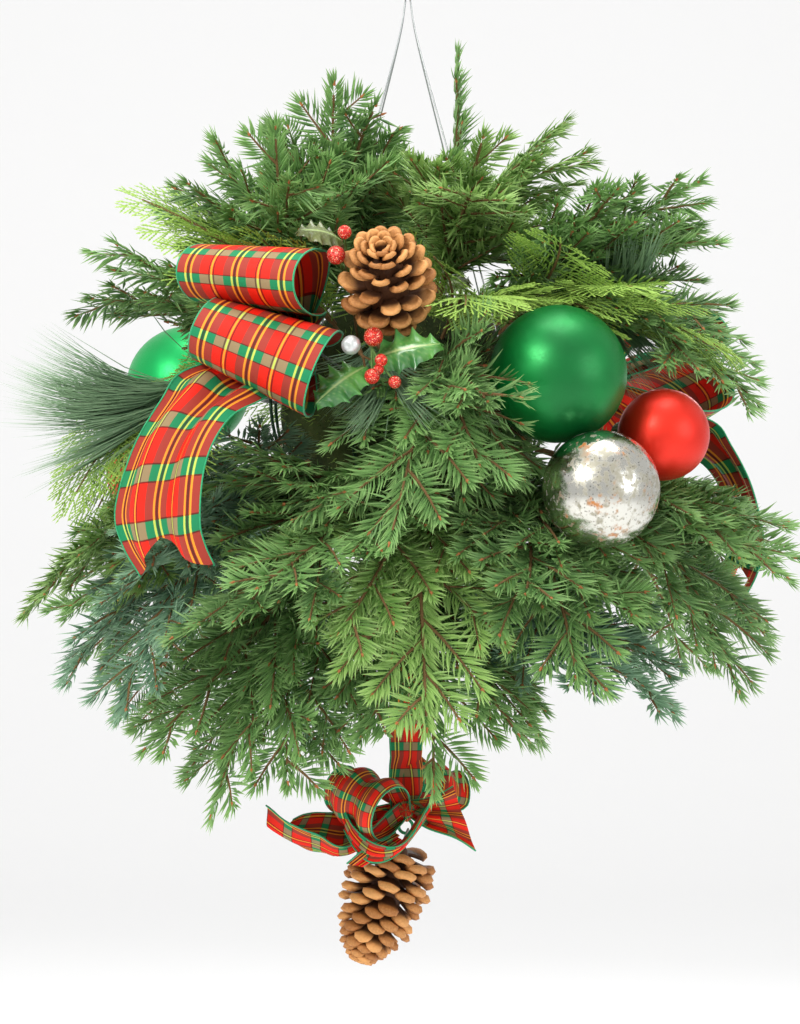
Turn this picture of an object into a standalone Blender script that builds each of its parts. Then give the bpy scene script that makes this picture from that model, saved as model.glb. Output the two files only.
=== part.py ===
"""A hanging basket of Christmas greens.

A wire basket hangs by four wires from one ring. The moss ball in it has a plain
hole for every stem and pick. Fir, cedar and white pine stand out on all sides,
with ornament balls, tartan bows, cones, holly and berries between them. A strap
below the basket carries a smaller bow and a long cone.

Metres, +Z up, the front is at -Y. The origin is the inner top of the ring.
"""

import math
import random

import bmesh
import bpy
import numpy as np
from mathutils import Matrix, Vector

GAP = 0.0003
SEED = 24

# Ring, crimp sleeve and hanger wires
RING_RADIUS = 0.010
RING_WIRE = 0.0015
RING_CENTRE = Vector((0, 0, RING_WIRE - RING_RADIUS))
SLEEVE_RADIUS = 0.0050
SLEEVE_TOP = -0.0182
SLEEVE_BOTTOM = -0.0300
WIRE_RADIUS = 0.0007
WIRE_SPREAD = 0.0026
WIRE_AZIMUTHS = (-45, 45, 135, -135)

# Wire basket, a 254 mm rim over half a sphere
RIM_Z = -0.379
RIM_RADIUS = 0.127
RIM_TUBE = 0.0020
RIB_TUBE = 0.0015
RIB_COUNT = 8
HOOP_DROP = 35
FOOT_DROP = 75
RIB_DROPS = (0, 17, HOOP_DROP, 55, FOOT_DROP)
HOOK_RADIUS = RIM_TUBE + GAP + WIRE_RADIUS

# Moss ball, cut flat where it rests on the strap that goes round the foot bar
MOSS_RADIUS = 0.110
FOOT_Z = RIM_Z - RIM_RADIUS * math.sin(math.radians(FOOT_DROP))
FOOT_RADIUS = RIM_RADIUS * math.cos(math.radians(FOOT_DROP))
RIBBON_THICK = 0.0010
STRAP_TURN = RIB_TUBE + 2 * GAP + RIBBON_THICK / 2
MOSS_FLAT = FOOT_Z + STRAP_TURN + RIBBON_THICK / 2 + GAP
MOSS_CENTRE = Vector((0, 0, -0.3928))
HOLE_DEPTH = 0.030
HOLE_SIDES = 4

# Ribbons
WIDE_HALF = 0.050
NARROW_HALF = 0.031
WIDE_KNOT_SIZE = 0.013
LOW_KNOT_SIZE = 0.011
WIDE_CUT = 0.030
LOW_CUT = 0.012

# Stems, needles and blades
STEM_ROOT = 0.0027
STEM_TIP = 0.0013
SHOOT_RADIUS = 0.0015
NEEDLE_LENGTH = 0.027
NEEDLE_RADIUS = 0.0011
WHORL_STEP = 0.072
WHORL_HALF = 0.0013
SHOOTS = 2
PINE_LENGTH = 0.120
PINE_RADIUS = 0.0010
BLADE_THICK = 0.0010
CLEAR = 0.0007

# Ornament balls: azimuth, distance from the axis, height, radius, and how far the
# pick's hole is raised from level
BALLS = {
    "ball_green_front": (30.8, 0.2327, -0.3667, 0.0550, 18),
    "ball_red_front": (51.4, 0.2643, -0.4140, 0.0373, -7),
    "ball_silver_front": (32.7, 0.2792, -0.4588, 0.0463, -14),
    "ball_green_rear": (-116.7, 0.2227, -0.3645, 0.0560, 18),
    "ball_red_rear": (-99.9, 0.2322, -0.4450, 0.0370, -13),
}
CAP_RADIUS = 0.010
CAP_HEIGHT = 0.009
PICK_RADIUS = 0.0013
CONE_PICK_RADIUS = 0.0022
CONE_PICK_HOLE = (-3, 24)
EXIT_REACH = 0.010
GOLDEN_TURN = math.radians(137.508)
SHORTER = (1.0, 0.8, 0.6, 0.4)

# Fir boughs: hole azimuth and elevation, then each leader's tip as azimuth,
# distance from the axis and height
FIR_BOUGHS = {
    "fir_top": (62, 76, [(59, 0.050, -0.085)]),
    "fir_top_left": (-60, 66, [(-38, 0.101, -0.118), (-13, 0.121, -0.141)]),
    "fir_upper_left": (-52, 44, [(-40, 0.170, -0.162), (-48, 0.240, -0.211)]),
    "fir_upper_right": (30, 62, [(51, 0.186, -0.180)]),
    "fir_right_high": (62, 42, [(62, 0.270, -0.205), (61, 0.290, -0.328), (65, 0.280, -0.253)]),
    "fir_left_shoulder": (-62, 26, [(-60, 0.275, -0.258), (-66, 0.285, -0.300)]),
    "fir_left_tip": (-77, -12, [(-72, 0.335, -0.560)]),
    "fir_left_low": (-56, -22, [(-66, 0.310, -0.612), (-54, 0.290, -0.640)]),
    "fir_left_hem": (-44, -48, [(-44, 0.230, -0.722), (-52, 0.270, -0.668), (-26, 0.220, -0.692)]),
    "fir_front_left": (-12, -24, [(-22, 0.310, -0.535), (-38, 0.300, -0.575)]),
    "fir_front_middle": (7, 15, [(-3, 0.285, -0.500), (12, 0.290, -0.392)]),
    "fir_front_low": (2, -24, [(-11, 0.282, -0.570), (3, 0.262, -0.644)]),
    "fir_front_foot": (8, -50, [(6, 0.190, -0.700), (21, 0.240, -0.652), (-10, 0.215, -0.655)]),
    "fir_right_front": (35, -24, [(18, 0.290, -0.540), (29, 0.270, -0.605)]),
    "fir_right_low": (48, -46, [(35, 0.258, -0.612), (55, 0.262, -0.640)]),
    "fir_right_tip": (64, -14, [(63, 0.345, -0.530), (60, 0.310, -0.622)]),
    "fir_right_side": (98, -23, [(90, 0.310, -0.580), (122, 0.300, -0.620)]),
    "fir_back": (168, -23, [(180, 0.300, -0.590), (156, 0.290, -0.605), (148, 0.230, -0.685)]),
    "fir_back_left": (-140, -24, [(-140, 0.300, -0.600), (-156, 0.240, -0.690)]),
    "fir_left_side": (-102, -24, [(-104, 0.315, -0.570), (-116, 0.250, -0.670)]),
    "fir_back_top": (176, 58, [(176, 0.130, -0.140), (-152, 0.240, -0.220)]),
    "fir_back_shoulder": (142, 34, [(136, 0.250, -0.230), (160, 0.270, -0.290)]),
}
BOUGH_COLOURS = {"fir_upper_right": "yellow fir", "fir_left_tip": "yellow fir"}

# Cedar sprays and pine tufts: hole azimuth and elevation, tip as above
CEDAR_SPRAYS = {
    "cedar_left": (-38, 36, (-49, 0.255, -0.238)),
    "cedar_middle": (18, 34, (9, 0.275, -0.322)),
    "cedar_over_ball": (50, 34, (41, 0.285, -0.300)),
    "cedar_low_left": (-88, 18, (-63, 0.315, -0.478)),
    "cedar_rear": (-162, 18, (-166, 0.290, -0.400)),
}
PINE_TUFTS = {
    "pine_left": (-74, 18, (-71, 0.235, -0.400)),
    "pine_front": (-15, 28, (-3, 0.200, -0.370)),
    "pine_right": (84, 34, (72, 0.205, -0.290)),
}
CEDAR_FINGERS = 5
PINE_NEEDLES = 18

COLOURS = {
    "wire": ((0.50, 0.51, 0.50), 0.35, 1.0),
    "basket wire": ((0.03, 0.06, 0.03), 0.45, 0.0),
    "moss": ((0.09, 0.10, 0.04), 0.95, 0.0),
    "fir": ((0.10, 0.21, 0.10), 0.55, 0.0),
    "yellow fir": ((0.22, 0.34, 0.08), 0.55, 0.0),
    "cedar": ((0.26, 0.42, 0.06), 0.55, 0.0),
    "pine": ((0.18, 0.29, 0.20), 0.50, 0.0),
    "holly": ((0.07, 0.26, 0.05), 0.25, 0.0),
    "berry": ((0.65, 0.02, 0.01), 0.40, 0.0),
    "cone": ((0.36, 0.17, 0.07), 0.70, 0.0),
    "ribbon": ((0.62, 0.05, 0.03), 0.60, 0.0),
    "green ball": ((0.00, 0.20, 0.04), 0.30, 1.0),
    "red ball": ((0.80, 0.04, 0.02), 0.40, 0.6),
    "silver": ((0.75, 0.74, 0.70), 0.15, 1.0),
}


def clear_scene():
    for item in list(bpy.data.objects):
        bpy.data.objects.remove(item, do_unlink=True)


def new_collection(name):
    made = bpy.data.collections.new(name)
    bpy.context.scene.collection.children.link(made)
    return made


def material(name):
    if name in bpy.data.materials:
        return bpy.data.materials[name]
    colour, roughness, metallic = COLOURS[name]
    made = bpy.data.materials.new(name)
    made.use_nodes = True
    shader = made.node_tree.nodes["Principled BSDF"]
    shader.inputs["Base Color"].default_value = (*colour, 1)
    shader.inputs["Roughness"].default_value = roughness
    shader.inputs["Metallic"].default_value = metallic
    made.diffuse_color = (*colour, 1)
    return made


def around(azimuth, radius, height):
    """A point by its azimuth from the front, in degrees, and its distance from the axis."""
    angle = math.radians(azimuth)
    return Vector((radius * math.sin(angle), -radius * math.cos(angle), height))


def outward(azimuth, elevation):
    """The direction that a hole in the moss ball faces."""
    rise = math.radians(elevation)
    return around(azimuth, math.cos(rise), math.sin(rise))


def mixed(a, b, share):
    return a + (b - a) * share


def bend(a, b, c, share):
    """A point on the curve from a to c that b pulls towards itself."""
    return mixed(mixed(a, b, share), mixed(b, c, share), share)


def frame_along(direction):
    """Two directions at right angles to one, the first of them level."""
    side = direction.cross(Vector((0, 0, 1)))
    if side.length < 1e-4:
        side = Vector((1, 0, 0))
    side.normalize()
    return side, side.cross(direction).normalized()


# What is already placed, as round-ended rods, so that nothing crosses it
class Placed:
    def __init__(self):
        self.starts, self.ends, self.radii, self.owners = [], [], [], []

    def add(self, owner, start, end, radius):
        self.starts.append(tuple(start))
        self.ends.append(tuple(end))
        self.radii.append(radius)
        self.owners.append(owner)

    def add_line(self, owner, points, radius):
        for start, end in zip(points, points[1:]):
            self.add(owner, start, end, radius)

    def is_clear(self, owner, start, end, radius, beside=()):
        """Whether a rod keeps CLEAR of all but its own node and the ones beside it."""
        starts, ends = np.array(self.starts), np.array(self.ends)
        start, end = np.array(start), np.array(end)
        run, runs, between = end - start, ends - starts, start - starts
        a = run @ run
        e = (runs * runs).sum(1) + 1e-12
        b, c, f = runs @ run, between @ run, (runs * between).sum(1)
        s = np.clip((b * f - c * e) / np.maximum(a * e - b * b, 1e-14), 0, 1)
        t = np.clip((b * s + f) / e, 0, 1)
        s = np.clip((b * t - c) / max(a, 1e-12), 0, 1)
        apart = start + s[:, None] * run - starts - t[:, None] * runs
        room = np.linalg.norm(apart, axis=1) - np.array(self.radii) - radius
        others = ~np.isin(np.array(self.owners), (owner, *beside))
        return not (others & (room < CLEAR)).any()


def add_object(name, mesh, collection, look=None):
    made = bpy.data.objects.new(name, mesh)
    collection.objects.link(made)
    if look:
        made.data.materials.clear()
        made.data.materials.append(material(look))
    return made


def from_bmesh(name, bm, collection, look=None):
    mesh = bpy.data.meshes.new(name)
    bmesh.ops.recalc_face_normals(bm, faces=bm.faces)
    bm.to_mesh(mesh)
    bm.free()
    return add_object(name, mesh, collection, look)


def evaluated_copy(item):
    """The item's mesh with its modifiers applied and its loose caps welded."""
    graph = bpy.context.evaluated_depsgraph_get()
    mesh = bpy.data.meshes.new_from_object(item.evaluated_get(graph))
    bm = bmesh.new()
    bm.from_mesh(mesh)
    bmesh.ops.remove_doubles(bm, verts=bm.verts, dist=1e-6)
    bm.to_mesh(mesh)
    bm.free()
    return mesh


def tube(name, points, radii, collection, look=None, resolution=0, closed=False):
    """A round rod along points, 4 sides at resolution 0 and 2 more for each step."""
    curve = bpy.data.curves.new(name, "CURVE")
    curve.dimensions = "3D"
    curve.bevel_depth = max(radii)
    curve.bevel_resolution = resolution
    curve.use_fill_caps = not closed
    spline = curve.splines.new("POLY")
    spline.points.add(len(points) - 1)
    spline.use_cyclic_u = closed
    for point, place, radius in zip(spline.points, points, radii):
        point.co = (*place, 1)
        point.radius = radius / max(radii)
    guide = add_object(name + "_line", curve, collection)
    mesh = evaluated_copy(guide)
    bpy.data.objects.remove(guide)
    return add_object(name, mesh, collection, look)


def ball(name, centre, radius, collection, look=None, sides=14, rings=9, pole=(0, 0, 1)):
    """A faceted ball, one pole of which faces what it is seated on."""
    turn = Vector(pole).to_track_quat("Z", "Y").to_matrix().to_4x4()
    bm = bmesh.new()
    bmesh.ops.create_uvsphere(
        bm, u_segments=sides, v_segments=rings, radius=radius,
        matrix=Matrix.Translation(centre) @ turn,
    )
    return from_bmesh(name, bm, collection, look)


def cone_between(name, start, end, r_start, r_end, sides, collection, look=None):
    """A closed cone or drum from start to end."""
    run = Vector(end) - Vector(start)
    turn = run.to_track_quat("Z", "Y").to_matrix().to_4x4()
    place = Matrix.Translation((Vector(start) + Vector(end)) / 2) @ turn
    bm = bmesh.new()
    bmesh.ops.create_cone(
        bm, cap_ends=True, segments=sides, radius1=r_start, radius2=r_end,
        depth=run.length, matrix=place,
    )
    return from_bmesh(name, bm, collection, look)


def join(item, extras, operation="UNION"):
    """Fuses extras into item, or cuts them from it, with one Boolean."""
    if not extras:
        return item
    group = new_collection("boolean operands")
    for extra in extras:
        for holder in list(extra.users_collection):
            holder.objects.unlink(extra)
        group.objects.link(extra)
    boolean = item.modifiers.new("Joined", "BOOLEAN")
    boolean.operation = operation
    boolean.operand_type = "COLLECTION"
    boolean.collection = group
    boolean.solver = "MANIFOLD"
    mesh = evaluated_copy(item)
    item.modifiers.clear()
    looks = list(item.data.materials)
    item.data = mesh
    item.data.materials.clear()
    for look in looks:
        item.data.materials.append(look)
    for polygon in item.data.polygons:
        polygon.material_index = 0
    for extra in extras:
        bpy.data.objects.remove(extra)
    bpy.data.collections.remove(group)
    return item


# Ring, wires, basket and moss
def ring_with_sleeve(name, collection):
    turns = 12
    circle = [
        RING_CENTRE + RING_RADIUS * Vector((math.cos(a), 0, math.sin(a)))
        for a in (math.tau * k / turns for k in range(turns))
    ]
    ring = tube(name, circle, [RING_WIRE] * turns, collection, "wire", 0, closed=True)
    sleeve = cone_between(
        "sleeve", (0, 0, SLEEVE_TOP), (0, 0, SLEEVE_BOTTOM),
        SLEEVE_RADIUS, SLEEVE_RADIUS, 8, collection,
    )
    return join(ring, [sleeve])


def hanger_points(azimuth):
    """Down from the sleeve, then round the rim as an open hook."""
    out = around(azimuth, 1, 0)
    rim = around(azimuth, RIM_RADIUS, RIM_Z)
    top = around(azimuth, WIRE_SPREAD, SLEEVE_BOTTOM - GAP)
    hook = [
        rim + HOOK_RADIUS * (out * math.cos(a) + Vector((0, 0, 1)) * math.sin(a))
        for a in (math.radians(160 + 25 * k) for k in range(8))
    ]
    neck = mixed(top, hook[0], 0.12) - out * 0.0040
    return [top, neck, mixed(top, hook[0], 0.5) - out * 0.0015, *hook]


def rib_points(azimuth):
    return [
        around(azimuth, RIM_RADIUS * math.cos(fall), RIM_Z - RIM_RADIUS * math.sin(fall))
        for fall in map(math.radians, RIB_DROPS)
    ]


def basket_frame(name, collection):
    def hoop(drop, tube_radius, sides, phase):
        fall = math.radians(drop)
        radius, height = RIM_RADIUS * math.cos(fall), RIM_Z - RIM_RADIUS * math.sin(fall)
        points = [around(360 * (k + phase) / sides, radius, height) for k in range(sides)]
        return tube(f"hoop_{drop}", points, [tube_radius] * sides, collection, None, 0, True)

    rim = hoop(0, RIM_TUBE, 16, 0)
    rim.name = name
    rim.data.materials.append(material("basket wire"))
    parts = [hoop(HOOP_DROP, RIB_TUBE, 16, 0), hoop(FOOT_DROP, RIB_TUBE, 8, 0.5)]
    for k in range(RIB_COUNT):
        points = rib_points(360 * (k + 0.5) / RIB_COUNT)
        parts.append(tube("rib", points, [RIB_TUBE] * len(points), collection))
    bar = [Vector((-FOOT_RADIUS, 0, FOOT_Z)), Vector((FOOT_RADIUS, 0, FOOT_Z))]
    parts.append(tube("foot_bar", bar, [RIB_TUBE] * 2, collection))
    return join(rim, parts)


def moss_ball(name, holes, collection):
    """The moss ball, with a plain hole for each stem: direction and stem radius."""
    moss = ball(name, MOSS_CENTRE, MOSS_RADIUS, collection, "moss", 14, 9)
    bm = bmesh.new()
    bm.from_mesh(moss.data)
    bmesh.ops.bisect_plane(
        bm, geom=bm.verts[:] + bm.edges[:] + bm.faces[:], plane_co=(0, 0, MOSS_FLAT),
        plane_no=(0, 0, -1), clear_outer=True,
    )
    bmesh.ops.holes_fill(bm, edges=[e for e in bm.edges if e.is_boundary])
    bmesh.ops.recalc_face_normals(bm, faces=bm.faces)
    bm.to_mesh(moss.data)
    bm.free()
    cutters = []
    for direction, stem in holes:
        radius = (stem + GAP) / math.cos(math.pi / HOLE_SIDES)
        inner = MOSS_CENTRE + direction * (MOSS_RADIUS - HOLE_DEPTH - GAP)
        outer = MOSS_CENTRE + direction * (MOSS_RADIUS + 0.004)
        cutters.append(cone_between("hole", inner, outer, radius, radius, HOLE_SIDES, collection))
    return join(moss, cutters, "DIFFERENCE")


# Ribbons: a strip between two edge lines, given thickness
def ribbon_strip(name, rows, collection, look=None, cut=0.0):
    """rows holds (left edge, right edge) pairs; cut is the depth of the V at the end."""
    bm = bmesh.new()
    lines = []
    for left, right in rows:
        lines.append([bm.verts.new(left), bm.verts.new(right)])
    if cut:
        end, before = rows[-1], rows[-2]
        back = ((before[0] + before[1]) - (end[0] + end[1])) / 2
        notch = bm.verts.new((end[0] + end[1]) / 2 + back.normalized() * cut)
        (a, b), (c, d) = lines[-2], lines.pop()
        bm.faces.new((a, b, notch))
        bm.faces.new((b, d, notch))
        bm.faces.new((c, a, notch))
    for a, b in zip(lines, lines[1:]):
        bm.faces.new((a[0], a[1], b[1], b[0]))
    strip = from_bmesh(name, bm, collection, look)
    thick = strip.modifiers.new("Thickness", "SOLIDIFY")
    thick.thickness = RIBBON_THICK
    thick.offset = 0
    mesh = evaluated_copy(strip)
    strip.modifiers.clear()
    strip.data = mesh
    return strip


def smooth_ends(share, reach):
    """From 0 at a loop's two ends to 1 in its open part."""
    s = min(1, min(share, 1 - share) / reach)
    return s * s * (3 - 2 * s)


def loop_rows(knot, centre, across, out, half, depth, heights, steps, pinch=0.010):
    """A rolled loop that leaves the knot over its top and comes back below."""
    across = across.normalized()
    out = (out - across * out.dot(across)).normalized()
    up = out.cross(across) if out.cross(across).z > 0 else across.cross(out)
    rows = []
    for k in range(steps + 1):
        share = k / steps
        open_share = smooth_ends(share, 0.20)
        angle = math.pi - math.tau * share
        edges = []
        for side, height in zip((-1, 1), heights):
            place = centre + across * side * half
            place = place + out * depth * math.cos(angle) + up * height * math.sin(angle)
            tied = knot + across * side * pinch + up * 0.006 * (1 - 2 * share)
            edges.append(mixed(tied, place, open_share))
        rows.append(tuple(edges))
    return rows


def spun(point, turn, lift):
    """A point of the front bow, carried round the axis to another bow's place."""
    placed = Matrix.Rotation(math.radians(turn), 3, "Z") @ Vector(point)
    return placed + Vector((0, 0, lift))


BOW_KNOT = (-0.093, -0.160, -0.333)
UPPER_LOOP = dict(
    centre=(-0.118, -0.212, -0.291), across=(0.92, -0.36, -0.10), out=(-0.38, -0.92, 0.0),
    depth=0.048, heights=(0.023, 0.026),
)
LOWER_LOOP = dict(
    centre=(-0.113, -0.224, -0.350), across=(0.92, -0.12, -0.36), out=(-0.22, -0.97, 0.0),
    depth=0.055, heights=(0.026, 0.036),
)
LOOP_STEPS = 11
TAIL_LEFT = (
    (-0.130, -0.185, -0.346), (-0.178, -0.215, -0.362), (-0.196, -0.222, -0.385),
    (-0.219, -0.220, -0.424), (-0.234, -0.214, -0.474), (-0.229, -0.210, -0.504),
    (-0.215, -0.208, -0.530),
)
TAIL_RIGHT = (
    (-0.075, -0.180, -0.362), (-0.115, -0.246, -0.386), (-0.140, -0.270, -0.402),
    (-0.158, -0.276, -0.436), (-0.163, -0.272, -0.482), (-0.160, -0.264, -0.503),
    (-0.153, -0.258, -0.520),
)


def wide_bow_rows(turn, lift):
    def place(point):
        return spun(point, turn, lift)

    def face(direction):
        return spun(direction, turn, 0)

    knot = place(BOW_KNOT)
    upper, lower = (
        loop_rows(
            knot, place(loop["centre"]), face(loop["across"]), face(loop["out"]),
            WIDE_HALF, loop["depth"], loop["heights"], LOOP_STEPS,
        )
        for loop in (UPPER_LOOP, LOWER_LOOP)
    )
    tied = face((0.008, 0, 0))
    tail = [(knot - tied, knot + tied)]
    tail += [(place(a), place(b)) for a, b in zip(TAIL_LEFT, TAIL_RIGHT)]
    return knot, upper, lower, tail


def bow(name, knot, strips, collection, knot_size):
    """Strips with thickness, fused at a small tied knot."""
    made = ball(name, knot, knot_size, collection, "ribbon", 6, 4, MOSS_CENTRE - knot)
    parts = [ribbon_strip("strip", rows, collection, None, cut) for rows, cut in strips]
    return join(made, parts)


def note_strip(placed, owner, rows, radius=0.004):
    """Keeps greens off a ribbon: rods across it, close enough to leave no way through."""
    for (l0, r0), (l1, r1) in zip(rows, rows[1:]):
        count = max(1, int(max((l1 - l0).length, (r1 - r0).length) / 0.008))
        for k in range(count + 1):
            placed.add(owner, mixed(l0, l1, k / count), mixed(r0, r1, k / count), radius)


# The narrow strap, bow and cone under the basket
LOW_KNOT = Vector((-0.002, -0.010, -0.734))
LINK_RADIUS = 0.006
LINK_TUBE = 0.0015
EYE_TUBE = 0.0010
CONE_LEAN = math.radians(20)
LOW_CONE_LENGTH = 0.112
LOW_CONE_RADIUS = 0.037


def strap_rows():
    """Down from the foot bar, which the strap goes round, to the low knot."""
    rows = []
    half = 0.009
    for k in range(7):
        angle = math.radians(200 - 44 * k)
        centre = Vector((0, STRAP_TURN * math.cos(angle), FOOT_Z + STRAP_TURN * math.sin(angle)))
        rows.append((centre - Vector((half, 0, 0)), centre + Vector((half, 0, 0))))
    rows.reverse()
    start = rows[-1]
    for share, width in ((0.3, 0.012), (0.7, 0.014), (1.0, 0.009)):
        centre = mixed((start[0] + start[1]) / 2, LOW_KNOT, share)
        rows.append((centre - Vector((width, 0, 0)), centre + Vector((width, 0, 0))))
    return rows


def low_bow_strips():
    left = loop_rows(
        LOW_KNOT, Vector((-0.036, -0.034, -0.725)), Vector((0.80, -0.55, -0.35)),
        Vector((-0.6, -0.62, 0.5)), NARROW_HALF * 0.86, 0.030, (0.022, 0.026), 9, 0.006,
    )
    right = loop_rows(
        LOW_KNOT, Vector((0.020, 0.022, -0.722)), Vector((0.70, 0.60, -0.30)),
        Vector((0.5, 0.7, 0.5)), NARROW_HALF * 0.86, 0.024, (0.018, 0.020), 9, 0.006,
    )
    k = LOW_KNOT
    left_tail = [
        (k + Vector((0, 0, 0.006)), k - Vector((0, 0, 0.006))),
        (Vector((-0.058, -0.030, -0.748)), Vector((-0.044, -0.030, -0.772))),
        (Vector((-0.098, -0.034, -0.748)), Vector((-0.086, -0.030, -0.768))),
        (Vector((-0.119, -0.036, -0.735)), Vector((-0.112, -0.030, -0.753))),
    ]
    right_tail = [
        (k - Vector((0, 0, 0.005)), k + Vector((0, 0, 0.005))),
        (Vector((0.026, -0.020, -0.756)), Vector((0.030, -0.016, -0.722))),
        (Vector((0.056, -0.022, -0.770)), Vector((0.040, -0.016, -0.722))),
    ]
    return [(strap_rows(), 0), (left, 0), (right, 0), (left_tail, LOW_CUT), (right_tail, 0)]


def link_points(centre, first, second, turns=10):
    return [
        centre + LINK_RADIUS * (first * math.cos(a) + second * math.sin(a))
        for a in (math.tau * k / turns for k in range(turns))
    ]


def low_bow(name, collection):
    made = bow(name, LOW_KNOT, low_bow_strips(), collection, LOW_KNOT_SIZE)
    link = tube(
        "link", link_points(link_centre(), Vector((1, 0, 0)), Vector((0, 0, 1))),
        [LINK_TUBE] * 10, collection, None, 0, True,
    )
    return join(made, [link])


def link_centre():
    return LOW_KNOT + Vector((0, 0, -0.0150))


def eye_centre():
    return link_centre() - Vector((0, 0, 2 * LINK_RADIUS - LINK_TUBE - EYE_TUBE - 5 * GAP))


def low_cone_axis():
    return Vector((-math.sin(CONE_LEAN), 0, -math.cos(CONE_LEAN)))


def low_cone_top():
    return eye_centre() + low_cone_axis() * (LINK_RADIUS + EYE_TUBE + 0.0010)


def screw_eye(name, collection):
    axis = low_cone_axis()
    ring = tube(
        name, link_points(eye_centre(), axis, Vector((0, 1, 0))),
        [EYE_TUBE] * 10, collection, "wire", 0, True,
    )
    shank = [eye_centre() + axis * LINK_RADIUS, low_cone_top() + axis * 0.012]
    return join(ring, [tube("shank", shank, [EYE_TUBE] * 2, collection)])


# Cones: a turned core with rings of open scales
def pine_cone(name, base, tip, radius, scale_count, scale_size, openness, collection):
    base, tip = Vector(base), Vector(tip)
    axis = (tip - base).normalized()
    length = (tip - base).length
    side = axis.orthogonal().normalized()
    core = ball(name, (0, 0, 0), 1, collection, "cone", 8, 7)
    across = Matrix((side, axis.cross(side), axis)).transposed().to_4x4()
    size = Matrix.Diagonal((radius * 0.46, radius * 0.46, length * 0.46, 1))
    core.data.transform(Matrix.Translation(mixed(base, tip, 0.5)) @ across @ size)
    scales = []
    for k in range(scale_count):
        share = (k + 0.5) / scale_count
        turn = Matrix.Rotation(k * GOLDEN_TURN, 3, axis)
        out = turn @ side
        girth = radius * math.sin(math.pi * (0.16 + 0.80 * share)) ** 0.6
        lean = math.radians(openness + (62 - openness) * share)
        run = (out * math.cos(lean) + axis * math.sin(lean)).normalized()
        root = base + axis * length * (0.10 + 0.76 * share)
        end = root + run * max(0.6 * scale_size, girth)
        scales.append(cone_scale(root, end, axis, scale_size * (1.05 - 0.45 * share), collection))
    return join(core, scales)


def cone_scale(root, end, axis, size, collection):
    """A thin wedge that widens to a blunt lip."""
    run = end - root
    forward = run.normalized()
    wide = forward.cross(axis).normalized()
    thick = wide.cross(forward)
    bm = bmesh.new()
    bmesh.ops.create_cone(bm, cap_ends=True, segments=3, radius1=0.35, radius2=1.0, depth=1.0)
    grid = Matrix((wide, thick, forward)).transposed().to_4x4()
    size_of = Matrix.Diagonal((size * 0.72, size * 0.26, run.length, 1))
    middle = Matrix.Translation((root + end) / 2)
    bmesh.ops.transform(bm, verts=bm.verts, matrix=middle @ grid @ size_of)
    return from_bmesh("scale", bm, collection)


# Holly and berries
def holly_outline(length, half):
    """Half of a holly leaf's edge: spines with hollow bays between them."""
    shape = ((0.00, 0.10), (0.22, 1.00), (0.36, 0.48), (0.55, 0.95), (0.70, 0.40), (0.84, 0.55))
    return [(length * x, half * y) for x, y in shape]


def leaf(base, tip, face, half, thick, outline, collection):
    """A flat leaf whose upper side looks along face, cut from its outline."""
    forward = (tip - base).normalized()
    face = (face - forward * face.dot(forward)).normalized()
    side = face.cross(forward)
    half_edge = outline((tip - base).length, half)
    points = [base + forward * x + side * y for x, y in half_edge] + [tip]
    points += [base + forward * x - side * y for x, y in reversed(half_edge)]
    bm = bmesh.new()
    top = [bm.verts.new(p + face * thick / 2) for p in points]
    low = [bm.verts.new(p - face * thick / 2) for p in points]
    count = len(points)
    middle = count // 2
    for corners, flip in ((top, False), (low, True)):
        for k in range(middle):
            quad = [corners[k], corners[k + 1], corners[count - 2 - k], corners[count - 1 - k]]
            quad = list(dict.fromkeys(quad))
            bm.faces.new(quad[::-1] if flip else quad)
    for k in range(count):
        bm.faces.new((top[k], low[k], low[(k + 1) % count], top[(k + 1) % count]))
    return from_bmesh("leaf", bm, collection)


HOLLY_STEM = 0.0020
FRONT_HOLLY = dict(
    hole=(-24, 30), fork=(-0.038, -0.232, -0.352),
    leaves=(
        ((-0.033, -0.240, -0.362), (-0.072, -0.262, -0.392), (-0.2, -0.9, 0.3), 0.019),
        ((-0.032, -0.240, -0.358), (0.024, -0.262, -0.346), (0.1, -0.9, 0.35), 0.019),
    ),
    berries=(
        (-0.0275, -0.262, -0.341, 0.0075), (-0.0215, -0.2700, -0.3595, 0.0050),
        (-0.0285, -0.2720, -0.3720, 0.0060), (-0.0110, -0.2710, -0.3765, 0.0050),
    ),
    berry_hole=(-8, 20), berry_bend=(-0.0330, -0.2350, -0.3430),
    berry_fork=(-0.0290, -0.2570, -0.3490),
)
REAR_TURN = 186
BERRY_STEM = 0.0010


def turned(point, turn):
    return Matrix.Rotation(math.radians(turn), 3, "Z") @ Vector(point)


def stem_start(azimuth, elevation):
    """A hole's direction, the bottom of the stem in it, and a point just outside it."""
    direction = outward(azimuth, elevation)
    root = MOSS_CENTRE + direction * (MOSS_RADIUS - HOLE_DEPTH)
    return direction, root, MOSS_CENTRE + direction * (MOSS_RADIUS + EXIT_REACH)


def holly_sprig(name, turn, collection):
    azimuth, elevation = FRONT_HOLLY["hole"]
    direction, root, exit_point = stem_start(azimuth + turn, elevation)
    fork = turned(FRONT_HOLLY["fork"], turn)
    stem = tube(name, [root, exit_point, fork], [HOLLY_STEM] * 3, collection, "holly")
    parts = []
    for base, tip, face, half in FRONT_HOLLY["leaves"]:
        base, tip, face = turned(base, turn), turned(tip, turn), turned(face, turn)
        twig = [fork, base, mixed(base, tip, 0.3)]
        parts.append(tube("twig", twig, [HOLLY_STEM * 0.75] * 3, collection))
        parts.append(leaf(base, tip, face, half, BLADE_THICK, holly_outline, collection))
    join(stem, parts)
    return direction, HOLLY_STEM


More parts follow.
